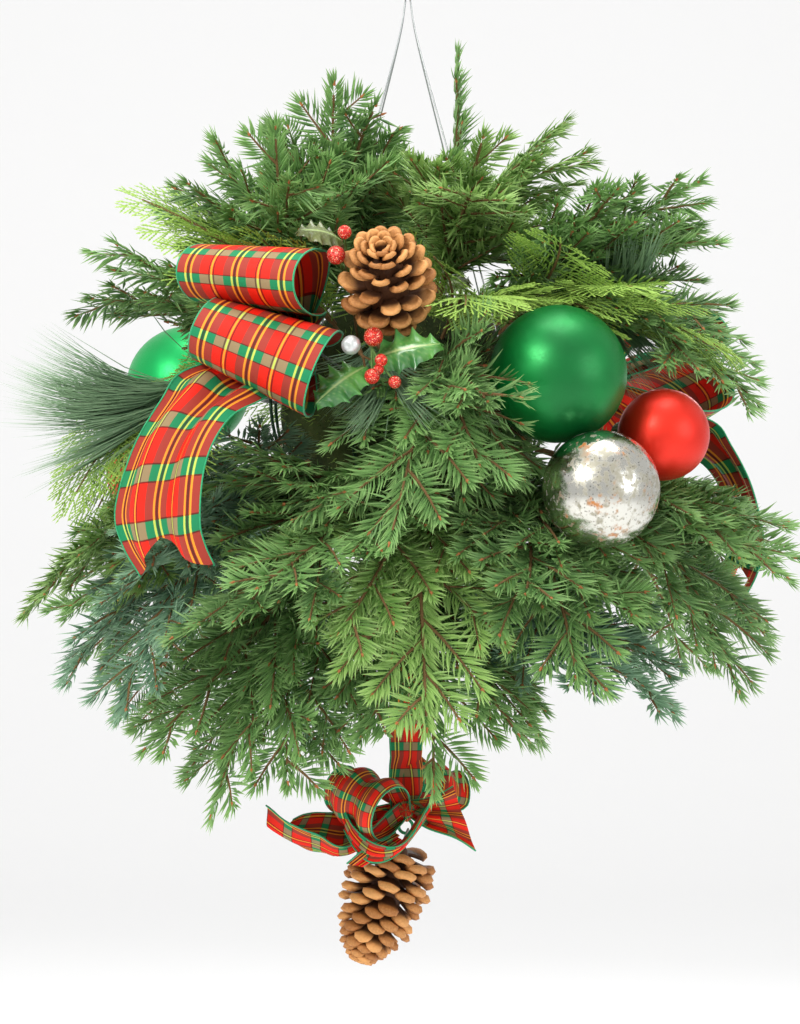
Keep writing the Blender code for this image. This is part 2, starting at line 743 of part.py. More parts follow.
def berry_spray(name, turn, collection):
    azimuth, elevation = FRONT_HOLLY["berry_hole"]
    direction, root, exit_point = stem_start(azimuth + turn, elevation)
    over, fork = (turned(FRONT_HOLLY[key], turn) for key in ("berry_bend", "berry_fork"))
    stem = tube(name, [root, exit_point, over, fork], [HOLLY_STEM * 0.7] * 4, collection, "berry")
    parts = []
    for x, y, z, radius in FRONT_HOLLY["berries"]:
        place = turned((x, y, z), turn)
        parts.append(tube("berry_wire", [fork, place], [BERRY_STEM] * 2, collection))
        parts.append(ball("berry", place, radius, collection, None, 5, 4))
    join(stem, parts)
    return direction, HOLLY_STEM * 0.7


# Greens
def leader_line(start, control, tip, steps=3):
    return [bend(start, control, tip, k / steps) for k in range(steps + 1)]


def line_is_clear(placed, owner, points, radius, beside):
    return all(
        placed.is_clear(owner, a, b, radius, beside) for a, b in zip(points, points[1:])
    )


def clear_leader(placed, owner, start, heading, tip, beside):
    """The leader's line, its tip moved a little if something stands in the way."""
    for push in (0, 6, -6, 12, -12, 18, -18, 26, -26):
        for raise_by in (0, 0.02, -0.02, 0.04, -0.04):
            azimuth, radius, height = tip
            end = around(azimuth + push, radius, height + raise_by)
            control = start + heading * (end - start).length * 0.45
            line = leader_line(start, control, end)
            if line_is_clear(placed, owner, line, STEM_ROOT, beside):
                return line
    return None


def shoot_ends(line, count, roll, length_share=0.42):
    """Where side shoots leave a leader, and where they reach when nothing is in the way."""
    whole = sum((b - a).length for a, b in zip(line, line[1:]))
    ends = []
    for k in range(count):
        share = 0.30 + 0.52 * (k + 0.5) / count
        start, ahead = point_on(line, share), point_on(line, min(1, share + 0.08))
        forward = (ahead - start).normalized()
        side, up = frame_along(forward)
        spread = side * math.cos(roll) + up * math.sin(roll)
        hand = 1 if k % 2 else -1
        run = forward * math.cos(math.radians(46)) + spread * hand * math.sin(math.radians(46))
        ends.append((start, start + run * whole * length_share * (1.25 - share)))
    return ends


def point_on(line, share):
    place = share * (len(line) - 1)
    k = min(int(place), len(line) - 2)
    return mixed(line[k], line[k + 1], place - k)


def needle_mesh(length, radius):
    """A three-sided needle that points along +Z from its root."""
    bm = bmesh.new()
    bmesh.ops.create_cone(
        bm, cap_ends=True, segments=3, radius1=radius, radius2=0, depth=length,
        matrix=Matrix.Translation((0, 0, length / 2)),
    )
    bmesh.ops.recalc_face_normals(bm, faces=bm.faces)
    mesh = bpy.data.meshes.new("needle")
    bm.to_mesh(mesh)
    bm.free()
    return mesh


def set_needle(mesh, root, run, stretch, collection):
    made = bpy.data.objects.new("needle", mesh)
    turn = run.to_track_quat("Z", "Y").to_matrix().to_4x4()
    made.matrix_world = Matrix.Translation(root) @ turn @ Matrix.Diagonal((1, 1, stretch, 1))
    collection.objects.link(made)
    return made


def whorl_shares(line, first):
    """Where whorls of needles sit on an axis, and half of one whorl's length there."""
    whole = sum((b - a).length for a, b in zip(line, line[1:]))
    count = max(1, round(whole * (1 - first) / WHORL_STEP))
    return [first + (1 - first) * (k + 0.4) / count for k in range(count)], WHORL_HALF / whole


def turned_stretch(bm, low, high):
    """The triangles between two rings, of which one may be turned. Each corner meets
    the nearest ones, because a longer edge would cut through the rod."""
    count = len(low)

    def reach(shift):
        return sum((high[(k + shift) % count].co - low[k].co).length for k in range(count))

    shift = min(range(count), key=reach)
    high = high[shift:] + high[:shift]
    for k in range(count):
        n = (k + 1) % count
        if (low[n].co - high[k].co).length < (low[k].co - high[n].co).length:
            corners = ((low[k], low[n], high[k]), (low[n], high[n], high[k]))
        else:
            corners = ((low[k], low[n], high[n]), (low[k], high[n], high[k]))
        for three in corners:
            bm.faces.new(three)


def needled_rod(placed, owner, line, radii, first, collection, look=None):
    """A three-sided rod, a loft between turned sections, with whorls of needles raised
    from its sides and one from its tip."""
    shares, half = whorl_shares(line, first)
    bends = [k / (len(line) - 1) for k in range(len(line))]
    bends = [b for b in bends if all(abs(b - s) > 3 * half for s in shares)]
    whorls = [(s + d, d < 0) for s in shares for d in (-half, half)]
    stops = sorted([(b, False) for b in bends] + whorls)
    bm = bmesh.new()
    sides, rings = 3, []
    for share, _ in stops:
        centre, forward = point_on(line, share), heading_at(line, share)
        side, up = frame_along(forward)
        phase = math.radians(60) * sum(s < share - half / 2 for s in shares)
        phase -= math.radians(60) * any(0 < share - s < 2 * half for s in shares)
        width = mixed(radii[0], radii[-1], share)
        corners = []
        for k in range(sides):
            angle = phase + math.tau * k / sides
            out = side * math.cos(angle) + up * math.sin(angle)
            corners.append(bm.verts.new(centre + width * out))
        rings.append(corners)
    raised = []
    for (share, is_whorl), low, high in zip(stops, rings, rings[1:]):
        forward = heading_at(line, share)
        if not is_whorl:
            turned_stretch(bm, low, high)
            continue
        for k in range(sides):
            n = (k + 1) % sides
            face = bm.faces.new((low[k], low[n], high[n], high[k]))
            away = face.calc_center_median() - point_on(line, share + half)
            lean = math.radians(52)
            out = (away - forward * away.dot(forward)).normalized()
            raised.append((face, forward * math.cos(lean) + out * math.sin(lean)))
    bm.faces.new(rings[0][::-1])
    raised.append((bm.faces.new(rings[-1]), heading_at(line, 1)))
    bmesh.ops.recalc_face_normals(bm, faces=bm.faces)
    for face, run in raised:
        root = face.calc_center_median()
        for stretch in (1.0, 0.8, 0.6):
            tip = root + run * NEEDLE_LENGTH * stretch
            if placed.is_clear(owner, root, tip, NEEDLE_RADIUS):
                placed.add(owner, root, tip, NEEDLE_RADIUS)
                bmesh.ops.poke(bm, faces=[face])["verts"][0].co = tip
                break
    return from_bmesh("rod", bm, collection, look)


def heading_at(line, share):
    ahead, behind = point_on(line, min(1, share + 0.03)), point_on(line, max(0, share - 0.03))
    return (ahead - behind).normalized()


def cedar_outline(length, half):
    """Half of a cedar finger's edge: short side tips with cuts between them."""
    shape = ((0.00, 0.25), (0.34, 1.00), (0.46, 0.36), (0.74, 0.80))
    return [(length * x, half * y) for x, y in shape]


def cedar_fingers(placed, owner, line, roll, collection):
    whole = sum((b - a).length for a, b in zip(line, line[1:]))
    made = []
    for k in range(CEDAR_FINGERS):
        share = 0.42 + 0.56 * k / (CEDAR_FINGERS - 1)
        last = k == CEDAR_FINGERS - 1
        start, behind = point_on(line, share), point_on(line, share - 0.06)
        forward = (start - behind).normalized()
        side, up = frame_along(forward)
        spread = side * math.cos(roll) + up * math.sin(roll)
        face = up * math.cos(roll) - side * math.sin(roll)
        hand = 0 if last else (1 if k % 2 else -1)
        angle = math.radians(48)
        run = forward if last else forward * math.cos(angle) + spread * hand * math.sin(angle)
        for stretch in (1.0, 0.75, 0.5):
            end = start + run * whole * 0.42 * stretch
            if placed.is_clear(owner, start, end, 0.007):
                placed.add(owner, start, end, 0.007)
                base = start - run * 0.001
                thick = BLADE_THICK * 1.2
                made.append(leaf(base, end, face, 0.008, thick, cedar_outline, collection))
                break
    return made


def pine_needles(placed, owner, line, mesh, draw, collection):
    tip, before = line[-1], line[-2]
    forward = (tip - before).normalized()
    side, up = frame_along(forward)
    made = []
    for k in range(PINE_NEEDLES):
        share = (k + 0.5) / PINE_NEEDLES
        lean = math.radians(8 + 46 * share)
        angle = k * GOLDEN_TURN + draw.uniform(-0.3, 0.3)
        out = side * math.cos(angle) + up * math.sin(angle)
        run = forward * math.cos(lean) + out * math.sin(lean)
        run = (run - Vector((0, 0, 0.10))).normalized()
        root = mixed(tip, before, 0.05 + 0.55 * share)
        for stretch in SHORTER:
            end = root + run * PINE_LENGTH * stretch
            if placed.is_clear(owner, root, end, PINE_RADIUS):
                placed.add(owner, root, end, PINE_RADIUS)
                made.append(set_needle(mesh, root, run, stretch, collection))
                break
    return made


def note_fixed(placed):
    """Everything that the greens keep clear of."""
    centre = tuple(MOSS_CENTRE)
    placed.add("moss_ball", centre, centre, MOSS_RADIUS)
    for k in range(4):
        line = hanger_points(WIRE_AZIMUTHS[k])
        placed.add_line(f"hanger_wire_{k + 1}", line, WIRE_RADIUS)
    for drop, thick in ((0, RIM_TUBE), (HOOP_DROP, RIB_TUBE), (FOOT_DROP, RIB_TUBE)):
        fall = math.radians(drop)
        radius, height = RIM_RADIUS * math.cos(fall), RIM_Z - RIM_RADIUS * math.sin(fall)
        hoop = [around(11.25 * k, radius, height) for k in range(33)]
        placed.add_line("basket_frame", hoop, thick)
    for k in range(RIB_COUNT):
        rib = rib_points(360 * (k + 0.5) / RIB_COUNT)
        placed.add_line("basket_frame", rib, RIB_TUBE)
    for name, (azimuth, radius, height, size, _) in BALLS.items():
        centre = around(azimuth, radius, height)
        placed.add(name, centre, centre, size)


def ball_pick(name, azimuth, elevation, centre, size, collection):
    """The metal cap on the ball's inner side and the wire pick that carries it."""
    direction, root, exit_point = stem_start(azimuth, elevation)
    inward = (exit_point - centre).normalized()
    cap_start = centre + inward * (size + GAP)
    cap_end = cap_start + inward * CAP_HEIGHT
    cap = cone_between(name, cap_start, cap_end, CAP_RADIUS, CAP_RADIUS * 0.8, 8, collection, "wire")
    pick = tube("pick", [cap_end - inward * 0.004, exit_point, root], [PICK_RADIUS] * 3, collection)
    join(cap, [pick])
    return direction, [cap_start, cap_end, exit_point, root]


def plain_pick(name, end, collection, look, radius=PICK_RADIUS):
    direction = (end - MOSS_CENTRE).normalized()
    root = MOSS_CENTRE + direction * (MOSS_RADIUS - HOLE_DEPTH)
    return tube(name, [root, end], [radius] * 2, collection, look), direction, [root, end]


FRONT_CONE = dict(base=(-0.014, -0.196, -0.322), tip=(-0.021, -0.268, -0.272), radius=0.043)
BALL_LOOKS = {"green": "green ball", "red": "red ball", "silver": "silver"}


def make_hanger_and_basket(parts):
    ring_with_sleeve("hang_ring", parts)
    for k, azimuth in enumerate(WIRE_AZIMUTHS):
        line = hanger_points(azimuth)
        tube(f"hanger_wire_{k + 1}", line, [WIRE_RADIUS] * len(line), parts, "wire")
    basket_frame("basket_frame", parts)


def make_balls(placed, holes, parts):
    for name, (azimuth, radius, height, size, elevation) in BALLS.items():
        centre = around(azimuth, radius, height)
        _, _, exit_point = stem_start(azimuth, elevation)
        look = BALL_LOOKS[name.split("_")[1]]
        ball(name, centre, size, parts, look, 13, 8, exit_point - centre)
        pick_name = name.replace("ball", "pick", 1)
        direction, line = ball_pick(pick_name, azimuth, elevation, centre, size, parts)
        placed.add(pick_name, line[0], line[1], CAP_RADIUS)
        placed.add_line(pick_name, line[1:], PICK_RADIUS)
        holes.append((direction, PICK_RADIUS))


def make_wide_bows(placed, holes, parts):
    for name, turn, lift in (("bow_front", 0, 0), ("bow_rear", 143, -0.03)):
        knot, upper, lower, tail = wide_bow_rows(turn, lift)
        bow(name, knot, [(upper, 0), (lower, 0), (tail, WIDE_CUT)], parts, WIDE_KNOT_SIZE)
        for rows in (upper, lower, tail):
            note_strip(placed, name, rows)
        placed.add(name, knot, knot, WIDE_KNOT_SIZE)
        near = knot + (MOSS_CENTRE - knot).normalized() * (WIDE_KNOT_SIZE + GAP)
        _, direction, line = plain_pick(name + "_pick", near, parts, "wire")
        placed.add_line(name + "_pick", line, PICK_RADIUS)
        holes.append((direction, PICK_RADIUS))


def make_low_bow_and_cone(placed, parts):
    low_bow("bow_low", parts)
    for rows, _ in low_bow_strips():
        note_strip(placed, "bow_low", rows)
    screw_eye("cone_low_eye", parts)
    top, axis = low_cone_top(), low_cone_axis()
    tip = top + axis * LOW_CONE_LENGTH
    cone = pine_cone("cone_low", top, tip, LOW_CONE_RADIUS, 26, 0.0140, 18, parts)
    bore_radius = (EYE_TUBE + GAP) * 1.3
    bore_end = top + axis * (0.012 + GAP)
    bore = cone_between("bore", top - axis * 0.02, bore_end, bore_radius, bore_radius, 6, parts)
    join(cone, [bore], "DIFFERENCE")
    placed.add("cone_low", top, tip, LOW_CONE_RADIUS)


def make_picked_cones(placed, holes, parts):
    for name, turn in (("cone_front", 0), ("cone_rear", REAR_TURN)):
        base, tip = turned(FRONT_CONE["base"], turn), turned(FRONT_CONE["tip"], turn)
        made = pine_cone(name, base, tip, FRONT_CONE["radius"], 20, 0.0155, 4, parts)
        azimuth, elevation = CONE_PICK_HOLE
        direction, root, exit_point = stem_start(turn + azimuth, elevation)
        line = [root, exit_point, mixed(base, tip, 0.3)]
        join(made, [tube("cone_pick", line, [CONE_PICK_RADIUS] * 3, parts)])
        placed.add(name, base, tip, FRONT_CONE["radius"])
        placed.add_line(name, [exit_point, base], CONE_PICK_RADIUS)
        holes.append((direction, CONE_PICK_RADIUS))


def make_holly_and_berries(placed, holes, parts):
    routes = (("holly", "hole", ("fork",)), ("berries", "berry_hole", ("berry_bend", "berry_fork")))
    for suffix, turn in (("front", 0), ("rear", REAR_TURN)):
        holes.append(holly_sprig(f"holly_{suffix}", turn, parts))
        holes.append(berry_spray(f"berries_{suffix}", turn, parts))
        for base, tip, _, half in FRONT_HOLLY["leaves"]:
            placed.add(f"holly_{suffix}", turned(base, turn), turned(tip, turn), half)
        for x, y, z, radius in FRONT_HOLLY["berries"]:
            place = turned((x, y, z), turn)
            placed.add(f"berries_{suffix}", place, place, radius)
        for owner, hole, bends in routes:
            azimuth, elevation = FRONT_HOLLY[hole]
            _, root, exit_point = stem_start(azimuth + turn, elevation)
            line = [root, exit_point] + [turned(FRONT_HOLLY[key], turn) for key in bends]
            placed.add_line(f"{owner}_{suffix}", line, HOLLY_STEM)


def grow_leaders(placed, holes):
    """Each green's kind, name, root and leader lines, none of which meet anything."""
    greens = []
    for kind, table in (("fir", FIR_BOUGHS), ("cedar", CEDAR_SPRAYS), ("pine", PINE_TUFTS)):
        for name, (azimuth, elevation, tips) in table.items():
            direction, root, exit_point = stem_start(azimuth, elevation)
            beside = ("moss_ball",)
            leaders = []
            for tip in tips if kind == "fir" else [tips]:
                start, heading = exit_point, direction
                if leaders:
                    start = point_on(leaders[0], 0.22)
                    heading = (leaders[0][1] - leaders[0][0]).normalized()
                line = clear_leader(placed, name, start, heading, tip, beside)
                if line:
                    placed.add_line(name, line, STEM_ROOT)
                    leaders.append(line)
            placed.add(name, root, exit_point, STEM_ROOT)
            holes.append((direction, STEM_ROOT))
            greens.append((kind, name, root, leaders))
    return greens


def grow_shoots(placed, name, leaders, draw):
    shoots = []
    for line in leaders:
        for start, end in shoot_ends(line, SHOOTS, draw.uniform(-0.5, 0.5)):
            for stretch in SHORTER:
                reach = mixed(start, end, stretch)
                if placed.is_clear(name, start, reach, SHOOT_RADIUS + 0.001):
                    placed.add(name, start, reach, SHOOT_RADIUS)
                    shoots.append([start, reach])
                    break
    return shoots


def fir_bough(placed, name, root, leaders, shoots, parts):
    look = BOUGH_COLOURS.get(name, "fir")
    main = [root, *leaders[0]]
    stem = needled_rod(placed, name, main, (STEM_ROOT, STEM_TIP), 0.46, parts, look)
    stem.name = name
    extras = []
    for line in leaders[1:]:
        radii = (STEM_ROOT * 0.85, STEM_TIP)
        extras.append(needled_rod(placed, name, line, radii, 0.34, parts))
    for shoot in shoots:
        extras.append(needled_rod(placed, name, shoot, (SHOOT_RADIUS, STEM_TIP), 0.22, parts))
    join(stem, extras)


def plain_stem(name, line, look, parts):
    """A stem of one width in its hole, then tapering to its tip."""
    last = len(line) - 2
    radii = [mixed(STEM_ROOT, STEM_TIP, max(0, k - 1) / last) for k in range(len(line))]
    return tube(name, line, radii, parts, look)


def make_greens(placed, holes, parts):
    draw = random.Random(SEED)
    greens = grow_leaders(placed, holes)
    shoots = {}
    for kind, name, _, leaders in greens:
        if kind == "fir":
            shoots[name] = grow_shoots(placed, name, leaders, draw)
    pine_needle = needle_mesh(PINE_LENGTH, PINE_RADIUS)
    for kind, name, root, leaders in greens:
        if kind == "fir":
            fir_bough(placed, name, root, leaders, shoots[name], parts)
            continue
        stem = plain_stem(name, [root, *leaders[0]], kind, parts)
        if kind == "cedar":
            roll = draw.uniform(-0.3, 0.3)
            join(stem, cedar_fingers(placed, name, leaders[0], roll, parts))
        else:
            join(stem, pine_needles(placed, name, leaders[0], pine_needle, draw, parts))


def build():
    clear_scene()
    parts = new_collection("christmas_greens_basket")
    placed = Placed()
    note_fixed(placed)
    holes = []
    make_hanger_and_basket(parts)
    make_balls(placed, holes, parts)
    make_wide_bows(placed, holes, parts)
    make_low_bow_and_cone(placed, parts)
    make_picked_cones(placed, holes, parts)
    make_holly_and_berries(placed, holes, parts)
    make_greens(placed, holes, parts)
    moss_ball("moss_ball", holes, parts)


build()
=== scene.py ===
# %% [markdown]
# # A hanging basket of Christmas greens
#
# A florist fills a round wire basket with a moss ball, pushes cut fir, cedar and
# pine into it from all sides, and dresses it with ornament balls, wired tartan
# ribbon, cones, holly and berries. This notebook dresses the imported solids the
# same way. The solids keep their places, and each step puts finer pieces on them.

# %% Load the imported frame
import math

import bpy
import numpy as np
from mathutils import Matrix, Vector


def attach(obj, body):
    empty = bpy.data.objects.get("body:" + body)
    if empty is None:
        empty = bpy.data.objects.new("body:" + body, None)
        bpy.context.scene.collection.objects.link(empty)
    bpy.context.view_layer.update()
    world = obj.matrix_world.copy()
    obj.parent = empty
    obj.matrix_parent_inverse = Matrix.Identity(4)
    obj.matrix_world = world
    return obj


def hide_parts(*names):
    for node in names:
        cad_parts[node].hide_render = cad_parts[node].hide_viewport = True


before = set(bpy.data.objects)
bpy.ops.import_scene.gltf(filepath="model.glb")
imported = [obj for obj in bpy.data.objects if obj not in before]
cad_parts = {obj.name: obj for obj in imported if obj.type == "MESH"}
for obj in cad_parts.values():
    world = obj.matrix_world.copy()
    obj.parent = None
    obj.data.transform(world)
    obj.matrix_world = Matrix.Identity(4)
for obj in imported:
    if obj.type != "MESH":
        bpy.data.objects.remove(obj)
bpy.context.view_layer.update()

# %% [markdown]
# ## Camera
#
# The photo was taken level with the middle of the basket from a few metres away,
# so its verticals don't converge. The camera stands 2.4 m from the axis and a
# pixel of an 800 by 1024 picture covers 0.87 mm there.

# %% Camera
CAMERA_PLACE = Vector((-0.00696, -2.4, -0.47676))
PIXEL = 0.00087
PICTURE_HEIGHT = 1024
SENSOR = 36.0
lens_data = bpy.data.cameras.new("camera")
camera = bpy.data.objects.new("camera", lens_data)
bpy.context.scene.collection.objects.link(camera)
camera.location = CAMERA_PLACE
camera.rotation_euler = (math.pi / 2, 0, 0)
lens_data.sensor_width = SENSOR
lens_data.lens = SENSOR * -CAMERA_PLACE.y / (PICTURE_HEIGHT * PIXEL)
bpy.context.scene.camera = camera

# %% [markdown]
# ## Places shared with the solids
#
# The moss ball's centre and size, the hole directions and the tips are the same
# values that the solids were made from, so every fine piece grows out of the same
# hole and ends at the same tip.

# %% Places
MOSS_CENTRE = np.array((0.0, 0.0, -0.3928))
MOSS_RADIUS = 0.110
HOLE_DEPTH = 0.030
UP = np.array((0.0, 0.0, 1.0))


def around(azimuth, radius, height):
    """A point by its azimuth from the front, its distance from the axis and its height."""
    angle = math.radians(azimuth)
    return np.array((radius * math.sin(angle), -radius * math.cos(angle), height))


def outward(azimuth, elevation):
    rise = math.radians(elevation)
    return around(azimuth, math.cos(rise), math.sin(rise))


def unit(vector):
    vector = np.asarray(vector, dtype=float)
    return vector / max(np.linalg.norm(vector), 1e-9)


def units(vectors, least=1e-9):
    """Every row of an array with length one."""
    return vectors / (np.linalg.norm(vectors, axis=1)[:, None] + least)


def mixed(a, b, share):
    return a + (b - a) * share


def bend(a, b, c, share):
    return mixed(mixed(a, b, share), mixed(b, c, share), share)


def turned(point, degrees):
    """A point carried round the vertical axis."""
    a = math.radians(degrees)
    x, y, z = point
    return np.array((x * math.cos(a) - y * math.sin(a), x * math.sin(a) + y * math.cos(a), z))


def stem_start(azimuth, elevation):
    """A hole's direction, the stem's root in it, and a point just outside it."""
    direction = outward(azimuth, elevation)
    root = MOSS_CENTRE + direction * (MOSS_RADIUS - HOLE_DEPTH)
    return direction, root, MOSS_CENTRE + direction * (MOSS_RADIUS + 0.010)


def smooth_line(points, count):
    """A curve through all the points, as count places evenly far apart."""
    points = [np.asarray(p, dtype=float) for p in points]
    padded = [2 * points[0] - points[1], *points, 2 * points[-1] - points[-2]]
    fine = []
    for k in range(1, len(padded) - 2):
        p0, p1, p2, p3 = padded[k - 1:k + 3]
        for t in np.linspace(0, 1, 12, endpoint=False):
            fine.append(0.5 * (
                2 * p1 + (p2 - p0) * t + (2 * p0 - 5 * p1 + 4 * p2 - p3) * t * t
                + (3 * p1 - p0 - 3 * p2 + p3) * t ** 3
            ))
    fine.append(points[-1])
    fine = np.array(fine)
    return evenly(fine, count)


def run_along(line):
    """The length of the line up to each of its points."""
    steps = np.linalg.norm(np.diff(line, axis=0), axis=1)
    return np.concatenate(([0], np.cumsum(steps)))


def at_run(line, run, stops):
    """The places on a line whose points lie at these runs."""
    return np.stack([np.interp(stops, run, line[:, k]) for k in range(3)], axis=-1)


def evenly(line, count):
    line = np.asarray(line)
    run = run_along(line)
    return at_run(line, run, np.linspace(0, run[-1], count))


def line_length(line):
    return float(np.linalg.norm(np.diff(np.asarray(line), axis=0), axis=1).sum())


# %% [markdown]
# ## A small language for materials
#
# A material is arithmetic on sockets. One class holds a material being made, and
# one holds a socket that can be added, multiplied or compared, so each recipe
# below reads as the rule it follows.

# %% Material tools
class Wire:
    """A socket's value, which arithmetic can be written on."""

    def __init__(self, recipe, socket):
        self.recipe, self.socket = recipe, socket

    def maths(self, operation, *others):
        inputs = dict(enumerate((self, *others)))
        return self.recipe.node("ShaderNodeMath", inputs, operation=operation)

    def __add__(self, other):
        return self.maths("ADD", other)

    def __sub__(self, other):
        return self.maths("SUBTRACT", other)

    def __mul__(self, other):
        return self.maths("MULTIPLY", other)

    def __rsub__(self, other):
        return self.maths("MULTIPLY", -1.0) + other

    __radd__, __rmul__ = __add__, __mul__

    def below(self, edge):
        return self.maths("LESS_THAN", edge)

    def wrapped(self, period):
        return self.maths("FLOORED_MODULO", period)

    def distance_to(self, place):
        return (self - place).maths("ABSOLUTE")

    def either(self, other):
        return self.maths("MAXIMUM", other)

    def ramp(self, low, high, start=0.0, end=1.0):
        """From start to end as the value goes from low to high, with soft ends."""
        inputs = {0: self, 1: low, 2: high, 3: start, 4: end}
        return self.recipe.node("ShaderNodeMapRange", inputs, interpolation_type="SMOOTHSTEP")


class Recipe:
    """One material being made."""

    def __init__(self, name, **constants):
        self.material = bpy.data.materials.new(name)
        self.material.use_nodes = True
        self.tree = self.material.node_tree
        self.shader = self.tree.nodes["Principled BSDF"]
        for key, value in constants.items():
            self.shader.inputs[key.replace("_", " ")].default_value = value

    def node(self, kind, inputs=None, output=0, **settings):
        made = self.tree.nodes.new(kind)
        for key, value in settings.items():
            setattr(made, key, value)
        for key, value in (inputs or {}).items():
            self.feed(made.inputs[key], value)
        return Wire(self, made.outputs[output])

    def feed(self, socket, value):
        if isinstance(value, Wire):
            self.tree.links.new(value.socket, socket)
        else:
            socket.default_value = value

    def set(self, **inputs):
        for key, value in inputs.items():
            self.feed(self.shader.inputs[key.replace("_", " ")], value)
        return self.material

    def place(self):
        return self.node("ShaderNodeTexCoord", output="Object")

    def uv(self):
        split = self.tree.nodes.new("ShaderNodeSeparateXYZ")
        self.feed(split.inputs[0], self.node("ShaderNodeUVMap", uv_map="ribbon"))
        return Wire(self, split.outputs[0]), Wire(self, split.outputs[1])

    def own(self, attribute):
        return self.node("ShaderNodeAttribute", output="Fac", attribute_name=attribute)

    def noise(self, scale, detail=3.0):
        inputs = {"Vector": self.place(), "Scale": scale, "Detail": detail}
        return self.node("ShaderNodeTexNoise", inputs)

    def cells(self, scale, output="Distance"):
        inputs = {"Vector": self.place(), "Scale": scale}
        return self.node("ShaderNodeTexVoronoi", inputs, output)

    def mix(self, share, first, second):
        inputs = {0: share, 6: first, 7: second}
        return self.node("ShaderNodeMix", inputs, 2, data_type="RGBA")

    def bump(self, height, strength, distance):
        inputs = {"Height": height, "Strength": strength, "Distance": distance}
        return self.node("ShaderNodeBump", inputs)


def colour(hexadecimal):
    """A display colour such as 6b5233 as linear light."""
    parts = [int(hexadecimal[k:k + 2], 16) / 255 for k in (0, 2, 4)]
    linear = [p / 12.92 if p <= 0.04045 else ((p + 0.055) / 1.055) ** 2.4 for p in parts]
    return (*linear, 1.0)


# %% [markdown]
# ## Materials of the greens
#
# Fir needles are waxy: dark green above with a blue bloom, paler at the tips and
# on young shoots. Each needle carries its own tone and its place along the
# needle, so a bough has many greens without a picture.

# %% Greens' materials
def needle_material(name, dark, light, tip, gloss):
    recipe = Recipe(name, Specular_IOR_Level=0.35)
    tone, along = recipe.own("tone"), recipe.own("along")
    patches = recipe.noise(9.0, 2.0)
    mottled = (tone * 0.75 + patches * 0.45 - 0.10).ramp(0.0, 1.0)
    body = recipe.mix(mottled, colour(dark), colour(light))
    shaded = recipe.mix(along.ramp(0.25, 1.0, 0.0, 0.45), body, colour(tip))
    return recipe.set(Base_Color=shaded, Roughness=tone * 0.18 + gloss)


def twig_material(name, dark, light):
    recipe = Recipe(name, Specular_IOR_Level=0.2)
    grain = recipe.noise(420.0, 4.0)
    look = recipe.mix(grain, colour(dark), colour(light))
    return recipe.set(Base_Color=look, Roughness=0.85, Normal=recipe.bump(grain, 0.4, 0.0004))


FIR_LOOK = needle_material("fir needles", "35592c", "74a058", "a8cc80", 0.42)
YELLOW_FIR_LOOK = needle_material("young fir needles", "48702c", "86ac58", "b8d488", 0.42)
BLUE_FIR_LOOK = needle_material("blue fir needles", "38604a", "789e7c", "a4c4a0", 0.42)
PINE_LOOK = needle_material("white pine needles", "486a4c", "88aa84", "a8c49c", 0.38)
CEDAR_LOOK = needle_material("cedar scales", "527a2c", "94b84c", "bdd472", 0.48)
TWIG_LOOK = twig_material("young bark", "4c3a24", "8a6a44")
BUD_LOOK = twig_material("buds", "8a5230", "b87a4c")


def sprig_looks(needles):
    """The materials of a sprig in the order of their numbers: needles, bark, buds."""
    return [needles, TWIG_LOOK, BUD_LOOK]


# %% [markdown]
# ## One needle
#
# A fir needle is a flat blade about 25 mm long. It could be a bent strip, but the
# camera sees it two pixels wide, so a cone of three sides is enough. The middle of
# its base is pulled out to the root, which makes a closed spindle of six triangles
# that is widest before its middle and tapers to a long tip. This one spindle is
# copied for every needle, cedar scale and moss fibre.

# %% Model the needle
def deselect():
    bpy.ops.object.select_all(action="DESELECT")


def finished(name):
    """The active object with its place moved into its mesh."""
    made = bpy.context.object
    made.name = name
    bpy.ops.object.transform_apply(location=True, rotation=True, scale=True)
    return made


WIDEST = 0.42
deselect()
bpy.ops.mesh.primitive_cone_add(
    vertices=3, radius1=0.5, radius2=0, depth=1 - WIDEST,
    end_fill_type="TRIFAN", location=(0, 0, (1 + WIDEST) / 2),
)
spindle = finished("one_needle")
SPINDLE = np.array([v.co for v in spindle.data.vertices])
root_end = (np.hypot(SPINDLE[:, 0], SPINDLE[:, 1]) < 0.1) & (SPINDLE[:, 2] < 0.9)
SPINDLE[root_end, 2] = 0
SPINDLE_FACES = np.array([list(p.vertices) for p in spindle.data.polygons])
bpy.data.objects.remove(spindle)
print("one needle has", len(SPINDLE_FACES), "triangles")


# %% [markdown]
# ## What the greens keep clear of
#
# A florist turns each sprig aside where an ornament or a bow sits. Here every
# ornament is a set of round-ended rods, drawn out a little way to the outside so
# that nothing grows across its face either, and needles inside a rod are dropped.

# %% Clear spaces
POINTS_AT_ONCE = 4000


